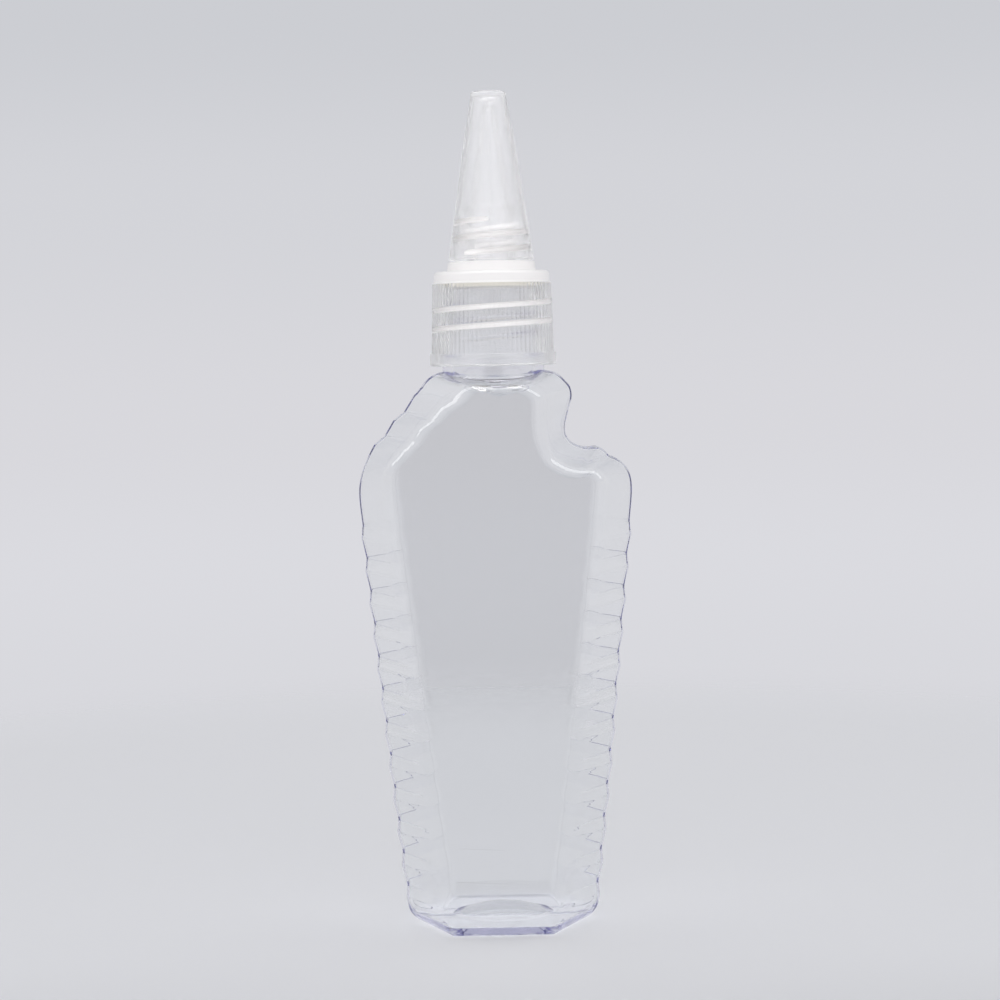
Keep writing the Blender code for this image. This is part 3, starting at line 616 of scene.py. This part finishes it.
collar = NECK_RADIUS + NECK_COLLAR_STAND
collar_top = BODY_HEIGHT + NECK_COLLAR_HEIGHT
foot = flare(collar, BODY_HEIGHT - NECK_FLARE_DROP, NECK_FLARE, NECK_FLARE_REACH)
neck = turned("neck", [
    (0.0, NECK_TOP),
    (NECK_RADIUS - NECK_LIP, NECK_TOP),
    (NECK_RADIUS - NECK_LIP_ROUND, NECK_TOP - NECK_LIP_ROUND),
    (NECK_RADIUS, NECK_TOP - NECK_LIP),
    (NECK_RADIUS, collar_top + NECK_COLLAR_STAND),
    (collar, collar_top),
    *foot,
    (foot[-1][0], BODY_HEIGHT - NECK_ROOT),
    (0.0, BODY_HEIGHT - NECK_ROOT),
], NECK_STEPS)
cut_or_join(bottle, neck, "UNION")
thread_bottom = NECK_TOP - THREAD_DROP - THREAD_PITCH * THREAD_TURNS
cut_or_join(bottle, thread_ridge(
    "neck_thread", lambda height: NECK_RADIUS, THREAD_CREST_RADIUS, THREAD_PITCH,
    thread_bottom, THREAD_START, THREAD_TURNS,
), "UNION")
cut_or_join(bottle, cavity, "DIFFERENCE")
mouth = flare(
    NECK_BORE_RADIUS, BODY_HEIGHT - 2 * NECK_FLARE_DROP, BORE_FLARE, BORE_FLARE_REACH,
)
bore = turned("bore", [
    (0.0, NECK_TOP + OVERRUN),
    (NECK_BORE_RADIUS, NECK_TOP + OVERRUN),
    *mouth,
    (mouth[-1][0], BODY_HEIGHT - NECK_ROOT),
    (0.0, BODY_HEIGHT - NECK_ROOT),
], NECK_STEPS)
cut_or_join(bottle, bore, "DIFFERENCE")
cut_or_join(bottle, dome(
    "push_up", PUSH_UP_HALF_WIDTH, PUSH_UP_HALF_DEPTH, PUSH_UP_HEIGHT,
), "DIFFERENCE")
smooth(bottle, degrees=20)


def node(tree, kind, inputs=None, **settings):
    """A shader node with these settings and input values."""
    made = tree.nodes.new(kind)
    for key, value in settings.items():
        setattr(made, key, value)
    for key, value in (inputs or {}).items():
        made.inputs[key].default_value = value
    return made


def plastic(name, colour, roughness, transmission, ior):
    """A Principled plastic with everything even set on the shader itself."""
    material = bpy.data.materials.new(name)
    material.use_nodes = True
    shader = material.node_tree.nodes["Principled BSDF"]
    shader.inputs["Base Color"].default_value = (*colour, 1.0)
    shader.inputs["Roughness"].default_value = roughness
    shader.inputs["Transmission Weight"].default_value = transmission
    shader.inputs["IOR"].default_value = ior
    return material, shader


def noise_bump(material, shader, scale, strength, distance):
    """Fine unevenness of a moulded surface, on Object coordinates."""
    tree = material.node_tree
    place = node(tree, "ShaderNodeTexCoord")
    noise = node(tree, "ShaderNodeTexNoise", {"Scale": scale, "Detail": 3.0})
    bump = node(tree, "ShaderNodeBump", {"Strength": strength, "Distance": distance})
    tree.links.new(place.outputs["Object"], noise.inputs["Vector"])
    tree.links.new(noise.outputs["Fac"], bump.inputs["Height"])
    tree.links.new(bump.outputs["Normal"], shader.inputs["Normal"])


def dress(piece, *materials):
    """Give this piece these material slots and no others."""
    piece.data.materials.clear()
    for material in materials:
        piece.data.materials.append(material)


clear_plastic, shader = plastic(
    "clear_polyester", (0.982, 0.988, 0.985), roughness=0.0, transmission=1.0, ior=1.57,
)
noise_bump(clear_plastic, shader, scale=90.0, strength=0.08, distance=0.0002)
absorption = node(
    clear_plastic.node_tree, "ShaderNodeVolumeAbsorption",
    {"Color": (0.27, 0.26, 0.66, 1.0), "Density": 24.0},
)
clear_plastic.node_tree.links.new(
    absorption.outputs["Volume"],
    clear_plastic.node_tree.nodes["Material Output"].inputs["Volume"],
)
dress(bottle, clear_plastic)
bottle.visible_shadow = False
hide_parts("bottle")
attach(bottle, "bottle")

# Liner: a ring of cream foam, die-cut from sheet and pressed up under the closure's top plate,
# where it seals on the lip of the neck. Its cut edge shows through the milky skirt.
liner_low, liner_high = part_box("neck_liner")
LINER_HOLE_RADIUS = 0.0045
LINER_EDGE_ROUND = 0.00012
LINER_STEPS = 96
liner_radius = liner_high[0]
liner = turned("foam_liner", [
    (liner_radius, liner_high[2] - LINER_EDGE_ROUND),
    (liner_radius - LINER_EDGE_ROUND / 2, (liner_low[2] + liner_high[2]) / 2),
    (liner_radius, liner_low[2] + LINER_EDGE_ROUND),
    (liner_radius - LINER_EDGE_ROUND, liner_low[2]),
    (LINER_HOLE_RADIUS, liner_low[2]),
    (LINER_HOLE_RADIUS, liner_high[2]),
    (liner_radius - LINER_EDGE_ROUND, liner_high[2]),
], LINER_STEPS)
smooth(liner, degrees=40)
foam, shader = plastic(
    "cream_polyethylene_foam", (0.90, 0.86, 0.74), roughness=0.75, transmission=0.0, ior=1.45,
)
noise_bump(foam, shader, scale=2500.0, strength=0.5, distance=0.00015)
dress(liner, foam)
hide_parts("neck_liner")
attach(liner, "liner")

# Closure: natural polypropylene, injection-moulded in one with its knurled skirt, internal
# thread, seat ring, threaded spigot and tapered nozzle, and screwed down on the neck.
closure_low, closure_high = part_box("nozzle_closure")
CLOSURE_RIM = closure_low[2]
CLOSURE_HEIGHT = 0.0176
CLOSURE_BORE_RADIUS = 0.0102
CLOSURE_CREST_RADIUS = 0.00945
PLATE_THICKNESS = 0.0019
SKIRT_TOP_RADIUS = 0.01115
SKIRT_RADIUS = 0.01145
DISC_HEIGHT = 0.0023
DISC_STEP = 0.00035
DISC_ROUND = 0.0007
BEAD_HEIGHT = 0.0023
BEAD_STAND = 0.00035
BEAD_ROUND = 0.00015
RIM_CHAMFER = 0.0003
EDGE_BREAK = 0.0002
FINE_BREAK = 0.0001
KNURLS = 80
KNURL_DEPTH = 0.00015
KNURL_TOP_GAP = 0.0004
KNURL_FOOT_GAP = 0.0003
COLUMNS_PER_KNURL = 4
SKIRT_COLUMNS = KNURLS * COLUMNS_PER_KNURL
CLOSURE_THREAD_START = math.radians(510)
CLOSURE_THREAD_TURNS = 1.75
RIDGE_FLANK_STEP = 0.0012
SEAT_RADIUS = 0.0083
SEAT_DRAFT = 0.00015
SEAT_HEIGHT = 0.0018
SPIGOT_RADIUS = 0.0046
SPIGOT_HEIGHT = 0.0105
SPIGOT_BORE_RADIUS = 0.0032
SPIGOT_BORE_HEIGHT = 0.0085
SPIGOT_CHAMFER = 0.0005
SPIGOT_THREAD_DEPTH = 0.0007
SPIGOT_THREAD_TURNS = 1.5
NOZZLE_ROOT_RADIUS = 0.0037
NOZZLE_TIP_RADIUS = 0.0014
NOZZLE_TIP_ROUND = 0.0003
NOZZLE_TIP = closure_high[2]
ORIFICE_RADIUS = 0.0007
ORIFICE_LENGTH = 0.0035
OVERCAP_THREAD_PITCH = 0.003
OVERCAP_THREAD_HEIGHT = 0.0012
OVERCAP_THREAD_START = math.radians(225)
OVERCAP_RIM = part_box("overcap")[0][2]
CORNER_STEPS = 5


def quarter_round(inner, outer, high, low):
    """A quarter round from (inner, high) out and down to (outer, low)."""
    corner = []
    for i in range(CORNER_STEPS + 1):
        angle = math.radians(90) * i / CORNER_STEPS
        radius = between(inner, outer, math.sin(angle))
        corner.append((radius, between(low, high, math.cos(angle))))
    return corner


top = CLOSURE_RIM + CLOSURE_HEIGHT
seat = top + SEAT_HEIGHT
spigot_top = seat + SPIGOT_HEIGHT
skirt_top = top - DISC_HEIGHT
roof = top - PLATE_THICKNESS
disc_radius = SKIRT_TOP_RADIUS - DISC_STEP
bead_radius = SKIRT_RADIUS + BEAD_STAND
bead_top = CLOSURE_RIM + BEAD_HEIGHT
section = [
    (ORIFICE_RADIUS, NOZZLE_TIP),
    (NOZZLE_TIP_RADIUS - NOZZLE_TIP_ROUND, NOZZLE_TIP),
    (NOZZLE_TIP_RADIUS, NOZZLE_TIP - NOZZLE_TIP_ROUND),
    (NOZZLE_ROOT_RADIUS, spigot_top + SPIGOT_CHAMFER),
    (SPIGOT_RADIUS - SPIGOT_CHAMFER, spigot_top),
    (SPIGOT_RADIUS, spigot_top - SPIGOT_CHAMFER),
    (SPIGOT_RADIUS, seat),
    (SEAT_RADIUS - SEAT_DRAFT - EDGE_BREAK, seat),
    (SEAT_RADIUS - SEAT_DRAFT, seat - EDGE_BREAK),
    (SEAT_RADIUS, top + FINE_BREAK),
    (SEAT_RADIUS + FINE_BREAK, top),
]
section += quarter_round(disc_radius - DISC_ROUND, disc_radius, top, top - DISC_ROUND)
section += [
    (disc_radius, skirt_top + DISC_STEP),
    (SKIRT_TOP_RADIUS - FINE_BREAK, skirt_top + FINE_BREAK),
    (SKIRT_TOP_RADIUS, skirt_top),
    (SKIRT_TOP_RADIUS, skirt_top - KNURL_TOP_GAP),
    (SKIRT_RADIUS, bead_top + KNURL_FOOT_GAP),
    (SKIRT_RADIUS, bead_top),
]
section += quarter_round(bead_radius - BEAD_ROUND, bead_radius, bead_top, bead_top - BEAD_ROUND)
section += [
    (bead_radius, CLOSURE_RIM + EDGE_BREAK),
    (bead_radius - EDGE_BREAK, CLOSURE_RIM),
    (CLOSURE_BORE_RADIUS + RIM_CHAMFER, CLOSURE_RIM),
    (CLOSURE_BORE_RADIUS, CLOSURE_RIM + RIM_CHAMFER),
    (CLOSURE_BORE_RADIUS, roof),
    (SPIGOT_BORE_RADIUS, roof),
    (SPIGOT_BORE_RADIUS, seat + SPIGOT_BORE_HEIGHT),
    (ORIFICE_RADIUS, NOZZLE_TIP - ORIFICE_LENGTH),
]
closure = turned("nozzle_cap", section, SKIRT_COLUMNS)
for vertex in closure.data.vertices:
    radius = math.hypot(vertex.co.x, vertex.co.y)
    if radius < SKIRT_TOP_RADIUS - MERGE or not bead_top < vertex.co.z - MERGE < skirt_top:
        continue
    column = math.atan2(vertex.co.y, vertex.co.x) / math.tau * SKIRT_COLUMNS
    if round(column) % COLUMNS_PER_KNURL == 0:
        share = 1 - KNURL_DEPTH / radius
        vertex.co.x *= share
        vertex.co.y *= share


def milky_plastic(name, colour, roughness, transmission, sheen=0.0):
    """Natural polypropylene with the fine unevenness of its mould."""
    material, shader = plastic(name, colour, roughness, transmission, ior=1.49)
    shader.inputs["Sheen Weight"].default_value = sheen
    shader.inputs["Sheen Roughness"].default_value = 0.25
    noise_bump(material, shader, scale=700.0, strength=0.12, distance=0.00006)
    return material


def with_thread(piece, ridge, material):
    """Join a thread ridge to its wall; the ridge keeps its own material."""
    ridge.data.materials.append(material)
    cut_or_join(piece, ridge, "UNION", material_mode="TRANSFER")


# Thin walls are clear with a haze, and the thick plate, disc, seat ring and threads are whiter
milky = milky_plastic("milky_polypropylene", (0.98, 0.98, 0.99), 0.27, 0.86, sheen=0.4)
# Painted shade: the thick plate, disc and seat ring get a darker colour than the threads, against
# the lamps that light them directly
milky_thick_with_painted_shade = milky_plastic("thick_milky_polypropylene", (0.9, 0.886, 0.89), 0.3, 0.1)
milky_thread = milky_plastic("thread_milky_polypropylene", (1.0, 0.988, 0.985), 0.3, 0.0)
dress(closure, milky, milky_thick_with_painted_shade)
# Faces above the skirt and outside the spigot take the thick material with its painted shade
for face in closure.data.polygons:
    if face.center.z > skirt_top and math.hypot(face.center.x, face.center.y) > SPIGOT_RADIUS:
        face.material_index = 1
climbed = THREAD_PITCH * (CLOSURE_THREAD_START - THREAD_START) / math.tau
with_thread(closure, thread_ridge(
    "closure_thread", lambda height: CLOSURE_BORE_RADIUS, CLOSURE_CREST_RADIUS, THREAD_PITCH,
    thread_bottom + climbed - RIDGE_FLANK_STEP, CLOSURE_THREAD_START, CLOSURE_THREAD_TURNS,
), milky_thread)
with_thread(closure, thread_ridge(
    "spigot_thread", lambda height: SPIGOT_RADIUS, SPIGOT_RADIUS + SPIGOT_THREAD_DEPTH,
    OVERCAP_THREAD_PITCH, OVERCAP_RIM + OVERCAP_THREAD_HEIGHT + RIDGE_FLANK_STEP,
    OVERCAP_THREAD_START, SPIGOT_THREAD_TURNS,
), milky_thread)
smooth(closure, degrees=28)
closure.visible_shadow = False
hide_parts("nozzle_closure")
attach(closure, "closure")

# Seal pin: the small peg under the overcap's roof that stops the nozzle's orifice, moulded
# from the same milky polypropylene as the overcap.
pin_low, pin_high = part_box("overcap_seal_pin")
PIN_RADIUS = 0.00035
PIN_HUB_THICKNESS = 0.0006
PIN_STEPS = 48
pin_hub_radius = pin_high[0]
hub_bottom = pin_high[2] - PIN_HUB_THICKNESS
pin = turned("seal_pin", [
    (0.0, pin_high[2]),
    (pin_hub_radius, pin_high[2]),
    (pin_hub_radius, hub_bottom + FINE_BREAK),
    (pin_hub_radius - FINE_BREAK, hub_bottom),
    (PIN_RADIUS + EDGE_BREAK, hub_bottom),
    (PIN_RADIUS, hub_bottom - EDGE_BREAK),
    (PIN_RADIUS, pin_low[2] + PIN_RADIUS / 2),
    (PIN_RADIUS / 2, pin_low[2]),
    (0.0, pin_low[2]),
], PIN_STEPS)
smooth(pin, degrees=40)
pin_plastic, shader = plastic(
    "milky_pin_polypropylene", (0.97, 0.97, 0.98), roughness=0.3, transmission=0.6, ior=1.49,
)
noise_bump(pin_plastic, shader, scale=900.0, strength=0.1, distance=0.00005)
dress(pin, pin_plastic)
pin.visible_shadow = False
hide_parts("overcap_seal_pin")
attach(pin, "seal_pin")

# Overcap: a long cone of thin milky polypropylene with four fine ribs up its outside and a
# coarse thread inside its mouth, screwed down over the nozzle onto the seat ring.
OVERCAP_HEIGHT = 0.0316
OVERCAP_RIM_RADIUS = 0.00785
OVERCAP_TOP_RADIUS = 0.00325
OVERCAP_WALL = 0.00075
OVERCAP_ROOF = 0.001
OVERCAP_TOP_ROUND = 0.0006
OVERCAP_RIM_BREAK = 0.00015
OVERCAP_STEP_DROP = 0.0072
OVERCAP_STEP = 0.0001
OVERCAP_CREST_RADIUS = 0.00495
OVERCAP_THREAD_TURNS = 2.125
OVERCAP_RIBS = 4
OVERCAP_RIB_WIDTH = 0.0004
OVERCAP_RIB_STAND = 0.00018
OVERCAP_RIB_FOOT_GAP = 0.0003
OVERCAP_STEPS = 128


def overcap_outer(height):
    """Radius of the overcap's outer cone below its step."""
    taper = (OVERCAP_RIM_RADIUS - OVERCAP_TOP_RADIUS - OVERCAP_STEP) / OVERCAP_HEIGHT
    return OVERCAP_RIM_RADIUS - taper * (height - OVERCAP_RIM)


def overcap_inner(height):
    return overcap_outer(height) - OVERCAP_WALL


cap_top = OVERCAP_RIM + OVERCAP_HEIGHT
step = cap_top - OVERCAP_STEP_DROP
ceiling = cap_top - OVERCAP_ROOF
rim_edge = OVERCAP_RIM + OVERCAP_RIM_BREAK
section = [(0.0, cap_top)]
section += quarter_round(
    OVERCAP_TOP_RADIUS - OVERCAP_TOP_ROUND,
    overcap_outer(cap_top - OVERCAP_TOP_ROUND) - OVERCAP_STEP, cap_top,
    cap_top - OVERCAP_TOP_ROUND,
)
section += [
    (overcap_outer(step) - OVERCAP_STEP, step + OVERCAP_STEP),
    (overcap_outer(step), step),
    (overcap_outer(rim_edge), rim_edge),
    (OVERCAP_RIM_RADIUS - OVERCAP_RIM_BREAK, OVERCAP_RIM),
    (overcap_inner(OVERCAP_RIM) + OVERCAP_RIM_BREAK, OVERCAP_RIM),
    (overcap_inner(rim_edge), rim_edge),
    (overcap_inner(ceiling), ceiling),
    (0.0, ceiling),
]
overcap = turned("long_overcap", section, OVERCAP_STEPS)


def overcap_rib(angle):
    """One fine rib up the cone, from the rim to the step, its root inside the wall."""
    middle = (OVERCAP_RIM + step) / 2
    rib = add("rib", bpy.ops.mesh.primitive_cube_add, size=1.0, location=(0.0, 0.0, middle))
    bpy.ops.object.transform_apply(location=True)
    for vertex in rib.data.vertices:
        height = step if vertex.co.z > middle else OVERCAP_RIM + OVERCAP_RIB_FOOT_GAP
        proud = vertex.co.x > 0
        radius = overcap_outer(height) + (OVERCAP_RIB_STAND if proud else -OVERCAP_WALL / 2)
        half = OVERCAP_RIB_WIDTH / (4 if proud else 2)
        aside = math.copysign(half, vertex.co.y)
        vertex.co = (
            radius * math.cos(angle) - aside * math.sin(angle),
            radius * math.sin(angle) + aside * math.cos(angle),
            height,
        )
    tidy_shell(rib)
    return rib


for i in range(OVERCAP_RIBS):
    cut_or_join(overcap, overcap_rib(math.tau * i / OVERCAP_RIBS), "UNION")
milky_thin = milky_plastic("thin_milky_polypropylene", (0.98, 0.98, 0.99), 0.27, 0.86, sheen=0.4)
dress(overcap, milky_thin)
with_thread(overcap, thread_ridge(
    "overcap_thread", overcap_inner, OVERCAP_CREST_RADIUS, OVERCAP_THREAD_PITCH,
    OVERCAP_RIM + OVERCAP_THREAD_HEIGHT, OVERCAP_THREAD_START, OVERCAP_THREAD_TURNS,
), milky_thread)
smooth(overcap, degrees=28)
overcap.visible_shadow = False
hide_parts("overcap")
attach(overcap, "overcap")

# Stage: a pale sheet of paper on a table, which fades into pale surroundings, inside a bright
# tent that is open to a dim room in front. One softbox overhead draws the bright lines on the
# panel's edge, and a low one in front lights the milky plastics.
FLOOR_RADIUS = 0.6
FLOOR_GAP = 0.0004


def eased(tree, low, high):
    """A smooth step of a value, from 0 at low to 1 at high."""
    return node(
        tree, "ShaderNodeMapRange", {"From Min": low, "From Max": high},
        interpolation_type="SMOOTHSTEP",
    )


floor = add(
    "floor", bpy.ops.mesh.primitive_circle_add, vertices=128, radius=FLOOR_RADIUS,
    fill_type="NGON", location=(0.0, 0.0, -FLOOR_GAP),
)
paper = bpy.data.materials.new("pale_paper")
paper.use_nodes = True
tree = paper.node_tree
shader = tree.nodes["Principled BSDF"]
shader.inputs["Roughness"].default_value = 0.9
shader.inputs["Specular IOR Level"].default_value = 0.0
place = node(tree, "ShaderNodeTexCoord")
reach = node(tree, "ShaderNodeVectorMath", operation="LENGTH")
fade = eased(tree, 0.2, 0.32)
clear = node(tree, "ShaderNodeBsdfTransparent")
blend = node(tree, "ShaderNodeMixShader")
axes = node(tree, "ShaderNodeSeparateXYZ")
# Painted shade: the paper's colour darkens towards the front, where the dim room in front would
# shade it
dim = eased(tree, -0.02, -0.10)
paper_colour_and_painted_shade = node(tree, "ShaderNodeMix", data_type="RGBA")
paper_colour_and_painted_shade.inputs["A"].default_value = (0.71, 0.715, 0.745, 1.0)
paper_colour_and_painted_shade.inputs["B"].default_value = (0.6, 0.605, 0.63, 1.0)
tree.links.new(place.outputs["Object"], axes.inputs["Vector"])
tree.links.new(axes.outputs["Y"], dim.inputs["Value"])
tree.links.new(dim.outputs["Result"], paper_colour_and_painted_shade.inputs["Factor"])
tree.links.new(paper_colour_and_painted_shade.outputs["Result"], shader.inputs["Base Color"])
tree.links.new(place.outputs["Object"], reach.inputs[0])
tree.links.new(reach.outputs["Value"], fade.inputs["Value"])
tree.links.new(fade.outputs["Result"], blend.inputs["Fac"])
tree.links.new(shader.outputs["BSDF"], blend.inputs[1])
tree.links.new(clear.outputs["BSDF"], blend.inputs[2])
tree.links.new(blend.outputs["Shader"], tree.nodes["Material Output"].inputs["Surface"])
floor.data.materials.append(paper)

world = bpy.data.worlds.new("tent")
bpy.context.scene.world = world
world.use_nodes = True
world.cycles.sampling_method = "NONE"
tree = world.node_tree
direction = node(tree, "ShaderNodeTexCoord")
axes = node(tree, "ShaderNodeSeparateXYZ")
tree.links.new(direction.outputs["Generated"], axes.inputs["Vector"])
backdrop = node(tree, "ShaderNodeValToRGB")
backdrop.color_ramp.interpolation = "EASE"
BACKDROP_STOPS = (
    (0.0, (0.68, 0.685, 0.72)),
    (0.42, (0.688, 0.69, 0.726)),
    (0.45, (0.705, 0.706, 0.744)),
    (0.48, (0.69, 0.687, 0.722)),
    (0.53, (0.655, 0.66, 0.695)),
    (0.57, (0.605, 0.615, 0.65)),
    (1.0, (0.60, 0.61, 0.645)),
)
while len(backdrop.color_ramp.elements) < len(BACKDROP_STOPS):
    backdrop.color_ramp.elements.new(0.5)
for element, (position, colour) in zip(backdrop.color_ramp.elements, BACKDROP_STOPS):
    element.position = position
    element.color = (*colour, 1.0)
height = node(tree, "ShaderNodeMapRange", {"From Min": -1.0, "From Max": 1.0})
tree.links.new(axes.outputs["Z"], height.inputs["Value"])
tree.links.new(height.outputs["Result"], backdrop.inputs["Fac"])
sides = node(
    tree, "ShaderNodeMapRange",
    {"From Min": -0.15, "From Max": 0.6, "To Min": 0.72, "To Max": 0.97},
)
tree.links.new(axes.outputs["Z"], sides.inputs["Value"])
behind = eased(tree, 0.35, 0.85)
tree.links.new(axes.outputs["Y"], behind.inputs["Value"])
front = eased(tree, -0.86, -0.97)
tree.links.new(axes.outputs["Y"], front.inputs["Value"])
walls = node(tree, "ShaderNodeMix", data_type="RGBA")
tree.links.new(behind.outputs["Result"], walls.inputs["Factor"])
tree.links.new(sides.outputs["Result"], walls.inputs["A"])
tree.links.new(backdrop.outputs["Color"], walls.inputs["B"])

# The dim room is met only by light that a surface has scattered or mirrored. Sight that is
# straight, or goes through clear walls alone, meets the tent on all sides.
room = node(tree, "ShaderNodeMix", {"B": (0.10, 0.10, 0.105, 1.0)}, data_type="RGBA")
path = node(tree, "ShaderNodeLightPath")
bounced = node(tree, "ShaderNodeMath", operation="ADD", use_clamp=True)
tree.links.new(path.outputs["Diffuse Depth"], bounced.inputs[0])
tree.links.new(path.outputs["Glossy Depth"], bounced.inputs[1])
dark = node(tree, "ShaderNodeMath", operation="MULTIPLY")
tree.links.new(front.outputs["Result"], dark.inputs[0])
tree.links.new(bounced.outputs["Value"], dark.inputs[1])
tree.links.new(dark.outputs["Value"], room.inputs["Factor"])
tree.links.new(walls.outputs["Result"], room.inputs["A"])
tree.links.new(room.outputs["Result"], tree.nodes["Background"].inputs["Color"])


def softbox(name, size, size_y, place, aim, watts):
    """A rectangular area lamp at one point, turned towards another behind it."""
    lamp = add(name, bpy.ops.object.light_add, type="AREA", location=place)
    lamp.data.shape = "RECTANGLE"
    lamp.data.size = size
    lamp.data.size_y = size_y
    lamp.data.energy = watts
    lamp.rotation_euler.x = math.atan2(aim[1] - place[1], place[2] - aim[2])
    lamp.visible_transmission = False
    return lamp


shine = softbox(
    "top_softbox", size=2.4, size_y=0.5, place=(0.0, -0.33, 0.8), aim=(0.0, -0.2, 0.0), watts=13.0,
)
shine.visible_diffuse = False
fill = softbox(
    "front_softbox", size=1.2, size_y=0.3, place=(0.0, -0.9, 0.16), aim=(0.0, 0.0, 0.12), watts=3.8,
)
fill.visible_glossy = False

# The camera looks level from the neck's height with a slight roll, and shifts its picture down
FRAME_PIXELS = 1000.0
LENS_PIXELS = 2240.0
LENS_AXIS_ROW = 330.8
CAMERA_ROLL = math.radians(1.09)
BOUNCES = 96
camera = add(
    "camera", bpy.ops.object.camera_add, location=(0.0014, -0.42, 0.11),
    rotation=(math.radians(90), CAMERA_ROLL, 0.0),
)
camera.data.sensor_width = 36.0
camera.data.lens = camera.data.sensor_width * LENS_PIXELS / FRAME_PIXELS
camera.data.shift_y = (LENS_AXIS_ROW - FRAME_PIXELS / 2) / FRAME_PIXELS
camera.data.clip_start = 0.01
bpy.context.scene.camera = camera
bpy.context.scene.view_settings.view_transform = "Standard"
bpy.context.scene.cycles.transmission_bounces = BOUNCES
bpy.context.scene.cycles.max_bounces = BOUNCES
bpy.context.scene.cycles.glossy_bounces = BOUNCES
